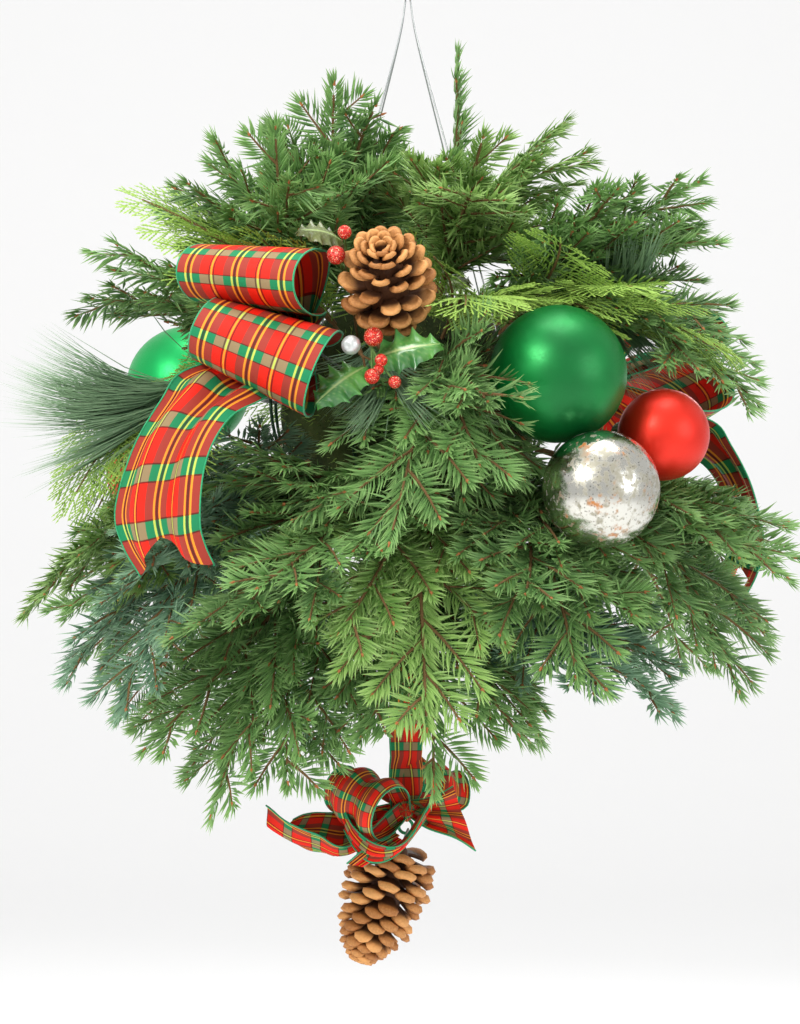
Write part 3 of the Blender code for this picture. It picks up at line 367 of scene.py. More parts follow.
class Clearing:
    """Round-ended rods in groups, which needles and twigs stay out of."""

    def __init__(self):
        self.groups = []

    def add(self, starts, ends, radii):
        starts, ends = np.atleast_2d(starts), np.atleast_2d(ends)
        radii = np.broadcast_to(np.asarray(radii, dtype=float), (len(starts),))
        both = np.concatenate((starts, ends))
        reach = radii.max()
        self.groups.append((starts, ends, radii, both.min(0) - reach, both.max(0) + reach))

    def holds(self, points):
        """Whether each point lies in a rod."""
        inside = np.zeros(len(points), dtype=bool)
        for starts, ends, radii, low, high in self.groups:
            near = ((points > low) & (points < high)).all(1) & ~inside
            index = np.flatnonzero(near)
            for part in np.array_split(index, len(index) // POINTS_AT_ONCE + 1):
                if len(part):
                    inside[part] = self.in_rods(points[part], starts, ends, radii)
        return inside

    @staticmethod
    def in_rods(points, starts, ends, radii):
        runs = ends - starts
        squares = (runs * runs).sum(1) + 1e-12
        between = points[:, None, :] - starts[None]
        share = np.clip((between * runs[None]).sum(2) / squares, 0, 1)
        gap = np.linalg.norm(between - share[..., None] * runs[None], axis=2)
        return (gap < radii[None]).any(1)


clearing = Clearing()


# %% [markdown]
# ## Growing a spray
#
# A fir spray is flat. Side shoots leave the leader by turns left and right at
# about 48 degrees, shorter towards the tip, and the longer ones branch again. The
# needles stand in a comb on both sides and sweep up and forward.

# %% Growing tools
class Greens:
    """Needles and twigs of one piece, kept as arrays until the mesh is made."""

    def __init__(self, seed):
        self.rng = np.random.default_rng(seed)
        self.needles = []
        self.points, self.faces, self.kinds = [], [], []
        self.count = 0

    def add_needles(self, roots, runs, ups, lengths, widths, tones, curl=0.06, flatness=0.5):
        self.needles.append((roots, runs, ups, lengths, widths, tones, curl, flatness))

    def add_twig(self, line, radius_start, radius_end, sides=4, kind=1):
        """A tapered twig along the line, closed at both ends."""
        line = np.asarray(line)
        tangents = units(np.gradient(line, axis=0))
        side = units(np.cross(tangents, unit((0.31, 0.27, 0.91))))
        over = np.cross(side, tangents)
        radii = np.linspace(radius_start, radius_end, len(line))
        angles = np.arange(sides) * math.tau / sides
        rings = line[:, None] + radii[:, None, None] * (
            side[:, None] * np.cos(angles)[None, :, None] + over[:, None] * np.sin(angles)[None, :, None]
        )
        start = self.count
        points = np.concatenate((rings.reshape(-1, 3), line[:1], line[-1:] + tangents[-1:] * radius_end))
        self.points.append(points)
        faces = []
        for k in range(len(line) - 1):
            for j in range(sides):
                a, b = k * sides + j, k * sides + (j + 1) % sides
                faces += [(a, b, b + sides), (a, b + sides, a + sides)]
        first, last = len(points) - 2, len(points) - 1
        top = (len(line) - 1) * sides
        for j in range(sides):
            n = (j + 1) % sides
            faces += [(first, n, j), (last, top + j, top + n)]
        self.faces.append(np.array(faces)[:, ::-1] + start)
        self.kinds.append(np.full(len(faces), kind))
        self.count += len(points)

    def needle_mesh(self):
        """Every needle that is clear, as corners, faces, tone and place along it."""
        columns = [
            np.concatenate([n[k] if np.ndim(n[k]) else np.full(len(n[0]), n[k]) for n in self.needles])
            for k in range(8)
        ]
        roots, runs, ups, lengths, widths, tones, curls, flats = columns
        middles, tips = roots + runs * lengths[:, None] * 0.5, roots + runs * lengths[:, None]
        keep = ~(clearing.holds(middles) | clearing.holds(tips))
        roots, runs, ups, lengths = roots[keep], runs[keep], ups[keep], lengths[keep]
        widths, tones, curls, flats = widths[keep], tones[keep], curls[keep], flats[keep]
        across = units(np.cross(runs, ups))
        face = np.cross(across, runs)
        x, y, z = SPINDLE.T
        lift = (4 * z * (1 - z))[None, :] * -(curls * lengths)[:, None]
        points = (
            roots[:, None] + across[:, None] * (x[None] * widths[:, None])[..., None]
            + face[:, None] * (y[None] * (widths * flats)[:, None] + lift)[..., None]
            + runs[:, None] * (z[None] * lengths[:, None])[..., None]
        )
        count = len(roots)
        faces = SPINDLE_FACES[None] + np.arange(count)[:, None, None] * len(SPINDLE)
        tones, along = np.repeat(tones, len(SPINDLE)), np.tile(z, count)
        return points.reshape(-1, 3), faces.reshape(-1, 3), tones, along

    def build(self, name, looks):
        points, faces, tones, along = self.needle_mesh()
        kinds = np.concatenate([np.zeros(len(faces), dtype=int), *self.kinds])
        shift = len(points)
        every = np.concatenate([points, *self.points])
        faces = np.concatenate([faces, *[f + shift for f in self.faces]])
        plain = np.full(len(every) - shift, 0.5)
        return piece_from(
            name, every, faces, looks, kinds,
            {"tone": np.concatenate((tones, plain)), "along": np.concatenate((along, plain))},
        )


def piece_from(name, points, faces, looks, kinds=None, attributes=None, smooth=False):
    """A mesh object from arrays of corners and triangles or quads."""
    mesh = bpy.data.meshes.new(name)
    faces = np.asarray(faces)
    corners = faces.shape[1]
    mesh.vertices.add(len(points))
    mesh.vertices.foreach_set("co", np.asarray(points, dtype=np.float32).ravel())
    mesh.loops.add(faces.size)
    mesh.loops.foreach_set("vertex_index", faces.astype(np.int32).ravel())
    mesh.polygons.add(len(faces))
    mesh.polygons.foreach_set("loop_start", np.arange(len(faces), dtype=np.int32) * corners)
    for look in looks:
        mesh.materials.append(look)
    if kinds is not None:
        mesh.polygons.foreach_set("material_index", np.asarray(kinds, dtype=np.int32))
    mesh.polygons.foreach_set("use_smooth", np.full(len(faces), smooth))
    for key, values in (attributes or {}).items():
        layer = mesh.attributes.new(key, "FLOAT", "POINT")
        layer.data.foreach_set("value", np.asarray(values, dtype=np.float32))
    mesh.update(calc_edges=True)
    mesh.validate()
    made = bpy.data.objects.new(name, mesh)
    bpy.context.scene.collection.objects.link(made)
    return made


def triangles(piece):
    return sum(len(p.vertices) - 2 for p in piece.data.polygons)


pieces_made = {}


def dress(piece, slot, *nodes):
    """Fixes a finished piece to the basket, in place of the solids it stands for."""
    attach(piece, "root")
    if nodes:
        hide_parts(*nodes)
    pieces_made[piece.name] = triangles(piece)
    return piece


def clear_part(line):
    """The line up to where it would first meet something it keeps clear of."""
    blocked = clearing.holds(line)
    if not blocked.any():
        return line
    return line[:int(np.argmax(blocked))]


def shoot_line(start, heading, side, length, curve, drop, count=6):
    """A shoot that bends towards one side and droops by its own weight."""
    shares = np.linspace(0, 1, count)[:, None]
    bent = side * curve * length * shares ** 2
    return start + heading * length * shares + bent - UP * drop * shares ** 2


NEEDLE_SPACING = 0.0013
NEEDLE_LENGTH = 0.029
NEEDLE_WIDTH = 0.0031
NEEDLE_LEAN = (60, 30)
NEEDLE_RISES, RISE_CHANCES = (4.0, 26.0, 54.0, -18.0), (0.44, 0.28, 0.16, 0.12)
BUD_NEEDLES = 9
BUD_NEEDLE_WIDTH = 0.0021
BUD_LENGTH = 0.004
SHOOT_STEP = 0.0225
LEADER_TWIG = (0.0024, 0.0011)
SHOOT_TWIG = (0.0014, 0.0008)
SIDE_TWIG = (0.0010, 0.0007, 3)
BUD_TWIG = (0.0015, 0.0006, 4, 2)


def needles_on(greens, line, plane, size, tone, first=0.0):
    """Combs of needles on both sides of a shoot, which sweep up out of its plane."""
    rng = greens.rng
    whole = line_length(line)
    stops = np.arange(first * whole + 0.001, whole, NEEDLE_SPACING)
    if len(stops) < 3 or len(line) < 3:
        return
    run = run_along(line)
    roots = at_run(line, run, stops)
    forward = units(at_run(line, run, stops + 0.004) - at_run(line, run, stops - 0.004))
    side = units(np.cross(forward, plane))
    over = np.cross(side, forward)
    share = stops / whole
    count = len(stops)
    hand = np.where(np.arange(count) % 2, 1.0, -1.0)
    rise = np.radians(rng.choice(NEEDLE_RISES, count, p=RISE_CHANCES) + rng.normal(0, 6, count))
    lean = np.radians(mixed(*NEEDLE_LEAN, share) + rng.normal(0, 5, count))
    out = side * (hand * np.cos(rise))[:, None] + over * np.sin(rise)[:, None]
    runs = forward * np.cos(lean)[:, None] + out * np.sin(lean)[:, None]
    profile = np.interp(share, [0, 0.15, 0.7, 1.0], [0.75, 1.0, 0.95, 0.55])
    lengths = size * profile * rng.uniform(0.86, 1.10, count)
    tones = np.clip(tone + 0.25 * share + rng.normal(0, 0.10, count), 0, 1)
    ups = over * 0.8 + forward * 0.6
    greens.add_needles(roots, runs, ups, lengths, np.full(count, NEEDLE_WIDTH), tones)
    end = unit(line[-1] - line[-2])
    spread = units(rng.normal(0, 0.22, (BUD_NEEDLES, 3)) + end, 0)
    greens.add_needles(
        np.repeat(line[-1:], BUD_NEEDLES, axis=0), spread, np.repeat(plane[None], BUD_NEEDLES, axis=0),
        size * rng.uniform(0.4, 0.62, BUD_NEEDLES), np.full(BUD_NEEDLES, BUD_NEEDLE_WIDTH),
        np.full(BUD_NEEDLES, min(1, tone + 0.3)),
    )
    greens.add_twig(np.array((line[-1], line[-1] + end * BUD_LENGTH)), *BUD_TWIG)


def fir_spray(greens, line, plane, first, spread=1.0):
    """A flat herringbone of shoots along a leader, each one a comb of its own."""
    rng = greens.rng
    whole = line_length(line)
    line = evenly(line, 26)
    tone = rng.uniform(0.15, 0.75)
    kept = clear_part(line)
    if len(kept) < 4:
        return
    greens.add_twig(kept[::2] if len(kept) > 8 else kept, *LEADER_TWIG)
    needles_on(greens, kept, plane, NEEDLE_LENGTH, tone, first)
    whole_kept = line_length(kept)
    hand = rng.choice([-1, 1])
    place = first * whole + rng.uniform(0, SHOOT_STEP)
    run = run_along(line)
    while place < whole_kept - 0.014:
        start = at_run(line, run, place)
        forward = unit(at_run(line, run, place + 0.01) - start)
        side = unit(np.cross(forward, plane)) * hand
        over = unit(np.cross(side, forward)) * hand
        share = place / whole
        young = np.interp(share, [0, 0.35, 1], [0.75, 1.0, 0.92])
        reach = min(0.110, max(0.034, 0.60 * (whole - place) + 0.016))
        reach = reach * young * rng.uniform(0.82, 1.08) * spread
        angle = math.radians(rng.uniform(42, 54))
        heading = unit(forward * math.cos(angle) + side * math.sin(angle) + over * rng.normal(0.04, 0.14))
        shoot = clear_part(shoot_line(start, heading, forward, reach, 0.16, reach * 0.05, 7))
        if len(shoot) >= 3:
            greens.add_twig(shoot[::2] if len(shoot) == 7 else shoot, *SHOOT_TWIG)
            size = NEEDLE_LENGTH * rng.uniform(0.86, 1.0)
            needles_on(greens, shoot, plane, size, tone + rng.normal(0, 0.08))
            if reach > 0.070:
                side_shoots(greens, shoot, plane, tone)
        place += SHOOT_STEP * rng.uniform(0.8, 1.2)
        hand = -hand


def side_shoots(greens, shoot, plane, tone):
    """The small second shoots of a long side shoot."""
    rng = greens.rng
    length = line_length(shoot)
    fine = evenly(shoot, 21)
    hand = rng.choice([-1, 1])
    for share in (0.34, 0.60):
        start = fine[int(share * 20)]
        ahead = unit(fine[int(share * 20) + 1] - start)
        side = unit(np.cross(ahead, plane)) * hand
        angle = math.radians(rng.uniform(38, 50))
        heading = unit(ahead * math.cos(angle) + side * math.sin(angle) + plane * rng.normal(0, 0.12))
        reach = max(0.028, 0.56 * length * (1 - share)) * rng.uniform(0.85, 1.15)
        twig = clear_part(shoot_line(start, heading, ahead, reach, 0.12, 0.0, 5))
        if len(twig) >= 3:
            greens.add_twig(twig[::2] if len(twig) == 5 else twig, *SIDE_TWIG)
            needles_on(greens, twig, plane, NEEDLE_LENGTH * 0.86, tone + rng.normal(0.05, 0.08))
        hand = -hand


def spray_plane(line, roll):
    """The normal of a spray that spreads round the basket and faces away from it."""
    forward = unit(line[-1] - line[len(line) // 2])
    side = np.cross(forward, UP)
    if np.linalg.norm(side) < 0.25:
        middle = unit(line[-1] - MOSS_CENTRE)
        side = np.cross(forward, unit(middle + np.array((0, -0.6, 0))))
    side = unit(side)
    over = unit(np.cross(side, forward))
    away = unit(np.array((line[-1][0], line[-1][1], 0.25 * (line[-1][2] - MOSS_CENTRE[2]))))
    if np.dot(over, away) < 0:
        over = -over
    a = math.radians(roll)
    return unit(over * math.cos(a) + side * math.sin(a))


# %% [markdown]
# ## Ornament balls
#
# Shatterproof balls are blown in one piece with a short neck, and a crimped metal
# cap with a wire loop closes the neck. The finish is what tells them apart: satin
# green, matt red and speckled silver. A sphere of many rings is drawn out to the
# neck, and the cap is a drum whose skirt is crimped into scallops.

# %% Ball materials
def satin_ball_material(name, body, shade):
    recipe = Recipe(name, Coat_Roughness=0.25, Specular_IOR_Level=0.6)
    cloud = recipe.noise(14.0, 3.0)
    dust = recipe.cells(900.0)
    look = recipe.mix(cloud.ramp(0.3, 0.75), colour(body), colour(shade))
    grain = recipe.noise(1400.0, 2.0)
    return recipe.set(
        Base_Color=look, Metallic=0.65, Roughness=dust * 0.25 + 0.30,
        Normal=recipe.bump(grain, 0.10, 0.0003), Coat_Weight=0.10,
    )


def silver_ball_material():
    """Silvering worn into speckles and flecks; the worn spots show a grey backing with painted warm
    reflections.
    """
    recipe = Recipe("speckled silver", Specular_IOR_Level=0.6)
    fine, broad = recipe.noise(210.0, 6.0), recipe.noise(26.0, 4.0)
    worn = (fine + broad * 0.8).ramp(0.88, 1.10)
    flecks = recipe.cells(330.0).ramp(0.10, 0.28, 1.0, 0.0)
    # Painted warm reflections: warm patches mixed into the grey backing of the worn spots.
    painted_warm_reflection = recipe.noise(48.0, 3.0).ramp(0.50, 0.66)
    backing_and_painted_reflection = recipe.mix(painted_warm_reflection, colour("9c9888"), colour("b8763c"))
    look = recipe.mix(worn, colour("c9c8c0"), backing_and_painted_reflection)
    look = recipe.mix(flecks * 0.7, look, colour("4c463c"))
    return recipe.set(
        Base_Color=look, Metallic=worn.ramp(0, 1, 1.0, 0.55), Roughness=worn * 0.30 + 0.16,
        Normal=recipe.bump(fine, 0.12, 0.0004),
    )


GREEN_BALL_LOOK = satin_ball_material("satin green", "008a3c", "00662c")
PEARL_GREEN_LOOK = satin_ball_material("pearl green", "00a854", "008a44")
RED_BALL_LOOK = satin_ball_material("matt red", "f0321c", "d2220f")
SILVER_BALL_LOOK = silver_ball_material()
CAP_LOOK = satin_ball_material("cap metal", "b8b39c", "8c876f")
WIRE_LOOK = satin_ball_material("hanger wire", "b4b8b8", "8b9090")
FRAME_WIRE_LOOK = satin_ball_material("green basket wire", "20402a", "16301e")

# %% Balls and their caps
BALLS = {
    "green_front": (30.8, 0.2327, -0.3667, 0.0550, 18, GREEN_BALL_LOOK, "green_ball"),
    "red_front": (51.4, 0.2643, -0.4140, 0.0373, -7, RED_BALL_LOOK, "red_ball"),
    "silver_front": (32.7, 0.2792, -0.4588, 0.0463, -14, SILVER_BALL_LOOK, "silver_ball"),
    "green_rear": (-116.7, 0.2227, -0.3645, 0.0560, 18, PEARL_GREEN_LOOK, "green_ball"),
    "red_rear": (-99.9, 0.2322, -0.4450, 0.0370, -13, RED_BALL_LOOK, "red_ball"),
}
CAP_RADIUS = 0.010
CAP_HEIGHT = 0.009
CAP_GAP = 0.0003
CRIMPS = 20
NECK_RISE = 0.0010
PICK_RADIUS = 0.0013
BALL_OUTLOOK = 0.12


def turn_to(direction):
    return Vector(direction).to_track_quat("Z", "Y").to_matrix()


def coordinates(piece):
    points = np.empty(len(piece.data.vertices) * 3, dtype=np.float32)
    piece.data.vertices.foreach_get("co", points)
    return points.reshape(-1, 3).astype(float)


def set_coordinates(piece, points):
    piece.data.vertices.foreach_set("co", np.asarray(points, dtype=np.float32).ravel())
    piece.data.update()


def place_mesh(piece, rotation, centre):
    """Moves the mesh, so that the object itself stays at the origin."""
    grid = np.array(rotation)
    set_coordinates(piece, coordinates(piece) @ grid.T + np.asarray(centre))


def round_ball(name, segments, rings, radius):
    deselect()
    bpy.ops.mesh.primitive_uv_sphere_add(segments=segments, ring_count=rings, radius=radius)
    return finished(name)


def ornament_ball(name, centre, radius, inward, look):
    """A ball with a faint moulding seam round its waist and a short neck."""
    ball = round_ball(name, 64, 40, radius)
    points = coordinates(ball)
    height = points[:, 2] / radius
    seam = 1 + 0.004 * np.exp(-(height / 0.012) ** 2)
    points[:, :2] *= seam[:, None]
    near_neck = np.clip((height - 0.985) / 0.015, 0, 1)
    points[:, 2] += near_neck * NECK_RISE
    set_coordinates(ball, points)
    bpy.ops.object.shade_smooth()
    place_mesh(ball, turn_to(inward), centre)
    ball.data.materials.append(look)
    return ball


def tube_piece(name, points, radius, look, closed=False, sides=8):
    """A round wire along the points, from a bevelled curve turned into a mesh."""
    curve = bpy.data.curves.new(name, "CURVE")
    curve.dimensions = "3D"
    curve.bevel_depth = 1.0
    curve.bevel_resolution = max(0, sides // 2 - 2)
    curve.use_fill_caps = not closed
    spline = curve.splines.new("POLY")
    spline.points.add(len(points) - 1)
    spline.use_cyclic_u = closed
    radii = np.broadcast_to(radius, (len(points),))
    for point, place, size in zip(spline.points, points, radii):
        point.co = (*place, 1)
        point.radius = size
    guide = bpy.data.objects.new(name, curve)
    bpy.context.scene.collection.objects.link(guide)
    deselect()
    guide.select_set(True)
    bpy.context.view_layer.objects.active = guide
    bpy.ops.object.convert(target="MESH")
    made = bpy.context.object
    weld(made)
    bpy.ops.object.shade_smooth()
    made.data.materials.clear()
    made.data.materials.append(look)
    return made


def weld(piece):
    """Closes the tube's end caps to its sides."""
    bpy.context.view_layer.objects.active = piece
    bpy.ops.object.mode_set(mode="EDIT")
    bpy.ops.mesh.select_all(action="SELECT")
    bpy.ops.mesh.remove_doubles(threshold=1e-6)
    bpy.ops.mesh.normals_make_consistent(inside=False)
    bpy.ops.object.mode_set(mode="OBJECT")


def join_pieces(name, parts):
    deselect()
    for part in parts:
        part.select_set(True)
    bpy.context.view_layer.objects.active = parts[0]
    bpy.ops.object.join()
    made = bpy.context.object
    made.name = name
    return made


def ball_cap(name, centre, radius, inward, exit_point, root):
    """The crimped cap on the neck and the wire pick that holds the ball."""
    deselect()
    bpy.ops.mesh.primitive_cylinder_add(
        vertices=2 * CRIMPS, radius=CAP_RADIUS, depth=CAP_HEIGHT, end_fill_type="TRIFAN",
    )
    cap = finished(name)
    bpy.ops.object.mode_set(mode="EDIT")
    bpy.ops.mesh.select_all(action="SELECT")
    bpy.ops.mesh.subdivide(number_cuts=2)
    bpy.ops.object.mode_set(mode="OBJECT")
    points = coordinates(cap)
    rise = points[:, 2] / CAP_HEIGHT + 0.5
    angle = np.arctan2(points[:, 1], points[:, 0])
    crimp = 1 + 0.045 * np.cos(CRIMPS * angle) * (1 - rise)
    taper = np.interp(rise, [0, 0.35, 0.85, 1], [1.0, 0.97, 0.86, 0.72])
    points[:, :2] *= (crimp * taper)[:, None]
    set_coordinates(cap, points)
    weld(cap)
    bpy.ops.object.shade_smooth_by_angle(angle=math.radians(40))
    cap_start = centre + inward * (radius + CAP_GAP)
    place_mesh(cap, turn_to(inward), cap_start + inward * CAP_HEIGHT / 2)
    cap.data.materials.append(CAP_LOOK)
    cap_end = cap_start + inward * CAP_HEIGHT
    halfway = mixed(cap_end, exit_point, 0.5)
    line = smooth_line([cap_end - inward * 0.004, halfway, exit_point, root], 14)
    pick = tube_piece(name + "_pick", line, PICK_RADIUS, CAP_LOOK)
    return join_pieces(name, [cap, pick])


for key, (azimuth, distance, height, size, elevation, look, slot) in BALLS.items():
    centre = around(azimuth, distance, height)
    _, root, exit_point = stem_start(azimuth, elevation)
    inward = unit(exit_point - centre)
    dress(ornament_ball(key + "_ball", centre, size, inward, look), slot, "ball_" + key)
    dress(ball_cap(key + "_cap", centre, size, inward, exit_point, root), "cap", "pick_" + key)
    out = unit(np.array((centre[0], centre[1], 0.0)))
    clearing.add(centre, centre, size + 0.004)
    clearing.add(centre, centre + out * BALL_OUTLOOK, size * 0.93)
    if key == "green_front":
        GREEN_FACE = len(clearing.groups) - 1
# The rear green ball shows through a gap between the left sprays.
clearing.add((-0.232, 0.050, -0.333), (-0.200, -0.250, -0.350), 0.027)
print("balls and caps", len(BALLS) * 2)

# %% [markdown]
# ## Tartan ribbon
#
# Wired ribbon is woven plain, so every colour is half warp and half weft. The warp
# alternates green and red stripes with gold lines in them, the weft is red with
# narrow green bars, and where green crosses red the cloth looks maroon or taupe. A
# green thread covers a fine wire along both edges. Each ribbon is a grid bent
# along its edge lines, gathered into waves where it is pinched, and thickened.

# %% Ribbon materials
def tartan_material(name, scale):
    """The ribbon's pattern, drawn on coordinates of one tenth of a metre."""
    recipe = Recipe(name, Specular_IOR_Level=0.2)
    across, along = (c * scale for c in recipe.uv())
    stripe = across.wrapped(0.40)
    in_green = (stripe.distance_to(0.10)).below(0.098)
    bar = along.wrapped(0.43)
    in_bar = bar.distance_to(0.215).below(0.066)
    bar_edge = bar.distance_to(0.215).distance_to(0.070).below(0.007)
    on_red = recipe.mix(in_green, colour("ec2412"), colour("a23a2e"))
    on_green = recipe.mix(in_green, colour("97835f"), colour("0b8656"))
    cloth = recipe.mix(in_bar, on_red, on_green)
    dark = stripe.distance_to(0.10).distance_to(0.0).below(0.010)
    dark = dark.either(stripe.distance_to(0.30).distance_to(0.019).below(0.006)).either(bar_edge)
    cloth = recipe.mix(dark * 0.72, cloth, colour("2c1210"))
    gold = stripe.distance_to(0.10).distance_to(0.024).below(0.0085)
    gold = gold.either(stripe.distance_to(0.30).below(0.0085))
    gold_look = recipe.mix(in_bar, colour("f2982c"), colour("c2d25c"))
    cloth = recipe.mix(gold, cloth, gold_look)
    threads = (across * 1050.0).maths("SINE") * 0.5 + (along * 1050.0).maths("SINE") * 0.5
    fade = recipe.noise(30.0, 2.0)
    cloth = recipe.mix((threads * 0.10 + fade * 0.16), cloth, colour("5c1410"))
    return recipe.set(
        Base_Color=cloth, Roughness=fade * 0.20 + 0.48,
        Normal=recipe.bump(threads, 0.25, 0.0003),
    )


def hem_material():
    recipe = Recipe("ribbon hem", Specular_IOR_Level=0.3, Sheen_Weight=0.2)
    twist = recipe.noise(600.0, 2.0)
    look = recipe.mix(twist, colour("0c7a4c"), colour("2fb478"))
    return recipe.set(Base_Color=look, Roughness=0.55, Normal=recipe.bump(twist, 0.3, 0.0003))


WIDE_TARTAN = tartan_material("wide tartan", 1.0)
NARROW_TARTAN = tartan_material("narrow tartan", 1.9)
HEM_LOOK = hem_material()

# %% Ribbon tools
RIBBON_THICK = 0.0006
ACROSS_STEPS = 20
EDGE_WIRE = 0.0008
DEEPEST_GATHER = 0.0065


def flat_grid(name, across, along):
    deselect()
    bpy.ops.mesh.primitive_grid_add(x_subdivisions=across, y_subdivisions=along, size=1)
    return finished(name)


def thickened(piece, thickness, offset=-1):
    bpy.context.view_layer.objects.active = piece
    thick = piece.modifiers.new("Thickness", "SOLIDIFY")
    thick.thickness = thickness
    thick.offset = offset
    bpy.ops.object.modifier_apply(modifier=thick.name)


def at_share(line, share):
    """Places along a line, whose points are evenly far apart in share."""
    return at_run(line, np.linspace(0, 1, len(line)), share)


def ribbon_piece(name, guides, width, look, cut=0.0, waves=2.0):
    """A ribbon through two or more guide lines, with gathers and a V cut at its end."""
    rows = len(guides[0])
    guides = [np.asarray(g) for g in guides]
    stations = np.linspace(0, 1, len(guides))
    middle = sum(guides) / len(guides)
    length = line_length(middle)
    ribbon = flat_grid(name, ACROSS_STEPS, rows - 1)
    flat = coordinates(ribbon)
    u, t = flat[:, 0] + 0.5, flat[:, 1] + 0.5
    notch = cut * (1 - np.abs(2 * u - 1)) / length
    t = t * (1 - notch * t ** 3)
    lines = np.array([at_share(g, t) for g in guides])
    points = np.empty_like(flat)
    for k in range(3):
        points[:, k] = [np.interp(x, stations, lines[:, i, k]) for i, x in enumerate(u)]
    chord = sum(np.linalg.norm(b - a, axis=1) for a, b in zip(lines, lines[1:]))
    along = at_share(middle, np.clip(t + 0.01, 0, 1)) - at_share(middle, np.clip(t - 0.01, 0, 1))
    normal = units(np.cross(lines[-1] - lines[0], along))
    spare = np.clip(width / np.maximum(chord, 1e-4) - 1, 0, 6)
    swing = np.minimum(chord / (math.tau * waves) * np.sqrt(4 * spare), DEEPEST_GATHER)
    points += normal * (swing * np.sin(math.tau * waves * u + 0.6))[:, None]
    set_coordinates(ribbon, points)
    layer = ribbon.data.uv_layers.new(name="ribbon")
    corners = np.empty(len(ribbon.data.loops), dtype=np.int32)
    ribbon.data.loops.foreach_get("vertex_index", corners)
    metres = np.stack((u * width, t * length), axis=1) * 10
    layer.data.foreach_set("uv", metres[corners].astype(np.float32).ravel())
    thickened(ribbon, RIBBON_THICK, 0)
    bpy.ops.object.shade_smooth_by_angle(angle=math.radians(50))
    ribbon.data.materials.append(look)
    edges = []
    for side in (0.0, 1.0):
        index = np.flatnonzero(np.abs(u - side) < 1e-6)
        index = index[np.argsort(t[index])]
        edges.append(tube_piece(name + "_edge", points[index], EDGE_WIRE, HEM_LOOK, sides=4))
    hem = join_pieces(name + "_hem", edges)
    return ribbon, hem, length


def dress_ribbon(name, node, guides, width, look, cut=0.0, waves=2.0):
    ribbon, hem, length = ribbon_piece(name, guides, width, look, cut, waves)
    dress(ribbon, "tartan", node)
    dress(hem, "tartan", node)
    area = width * (length - cut / 2) if cut else None
    left, right = np.asarray(guides[0])[::2], np.asarray(guides[-1])[::2]
    clearing.add(left, right, 0.006)
    print(f"{name}: {1000 * width:.0f} mm wide, {1000 * length:.0f} mm long")
    return ribbon


def loop_guides(knot, centre, across, out, half, depth, heights, pinch=0.010, steps=72):
    """Both edges of a rolled loop that leaves the knot over its top and comes back below."""
    knot, centre = np.asarray(knot), np.asarray(centre)
    across = unit(across)
    out = unit(np.asarray(out) - across * np.dot(out, across))
    up = np.cross(out, across)
    if up[2] < 0:
        up = -up
    lines = []
    for side, height in zip((-1, 1), heights):
        line = []
        for share in np.linspace(0, 1, steps + 1):
            near = min(1, min(share, 1 - share) / 0.20)
            opening = near * near * (3 - 2 * near)
            angle = math.pi - math.tau * share
            edge = centre + across * side * half
            place = edge + out * depth * math.cos(angle) + up * height * math.sin(angle)
            tied = knot + across * side * pinch + up * 0.006 * (1 - 2 * share)
            line.append(mixed(tied, place, opening))
        lines.append(np.array(line))
    return lines


def ribbon_knot(name, centre, size, away, look):
    """The tight crossing of the ribbon, pleated like a squeezed cushion."""
    knot = round_ball(name, 48, 24, size)
    points = coordinates(knot)
    angle = np.arctan2(points[:, 1], points[:, 0])
    rise = points[:, 2] / size
    pleats = 1 + 0.10 * np.cos(9 * angle + 2.0 * rise) * (1 - np.abs(rise))
    pleats -= 0.10 * np.exp(-(rise / 0.3) ** 2)
    set_coordinates(knot, points * pleats[:, None])
    bpy.ops.object.shade_smooth()
    knot.data.uv_layers[0].name = "ribbon"
    place_mesh(knot, turn_to(away), centre)
    knot.data.materials.append(look)
    return knot


# %% [markdown]
# ## The wide bows
#
# The front bow shows two rolled loops, one above the other, and one tail that
# sweeps out and down to a V cut. The same bow sits at the right rear, where the
# photo shows a loop and a tail of it. The loops hold their round shape by their
# wires, so they are made from the same ellipses as the solids.

# %% Wide bows
BOW_KNOT = (-0.093, -0.160, -0.333)
UPPER_LOOP = dict(
    centre=(-0.118, -0.212, -0.291), across=(0.92, -0.36, -0.10), out=(-0.38, -0.92, 0.0),
    depth=0.048, heights=(0.023, 0.026),
)
LOWER_LOOP = dict(
    centre=(-0.113, -0.224, -0.350), across=(0.92, -0.12, -0.36), out=(-0.22, -0.97, 0.0),
    depth=0.055, heights=(0.026, 0.036),
)
TAIL_LEFT = (
    (-0.130, -0.185, -0.346), (-0.178, -0.215, -0.362), (-0.196, -0.222, -0.385),
    (-0.219, -0.220, -0.424), (-0.234, -0.214, -0.474), (-0.229, -0.210, -0.504),
    (-0.215, -0.208, -0.530),
)
TAIL_RIGHT = (
    (-0.075, -0.180, -0.362), (-0.115, -0.246, -0.386), (-0.140, -0.270, -0.402),
    (-0.158, -0.276, -0.436), (-0.163, -0.272, -0.482), (-0.160, -0.264, -0.503),
    (-0.153, -0.258, -0.520),
)
WIDE_WIDTH = 0.100
V_CUT = 0.030
WIDE_KNOT_SIZE = 0.0128
# The loops' faces and the tail stay free of needles: a rod's two ends and its radius.
WIDE_BOW_CLEAR = (
    ((-0.118, -0.215, -0.318), (-0.115, -0.290, -0.320), 0.050),
    ((-0.180, -0.245, -0.400), (-0.200, -0.300, -0.500), 0.026),
)


def spun(point, turn, lift):
    return turned(point, turn) + UP * lift


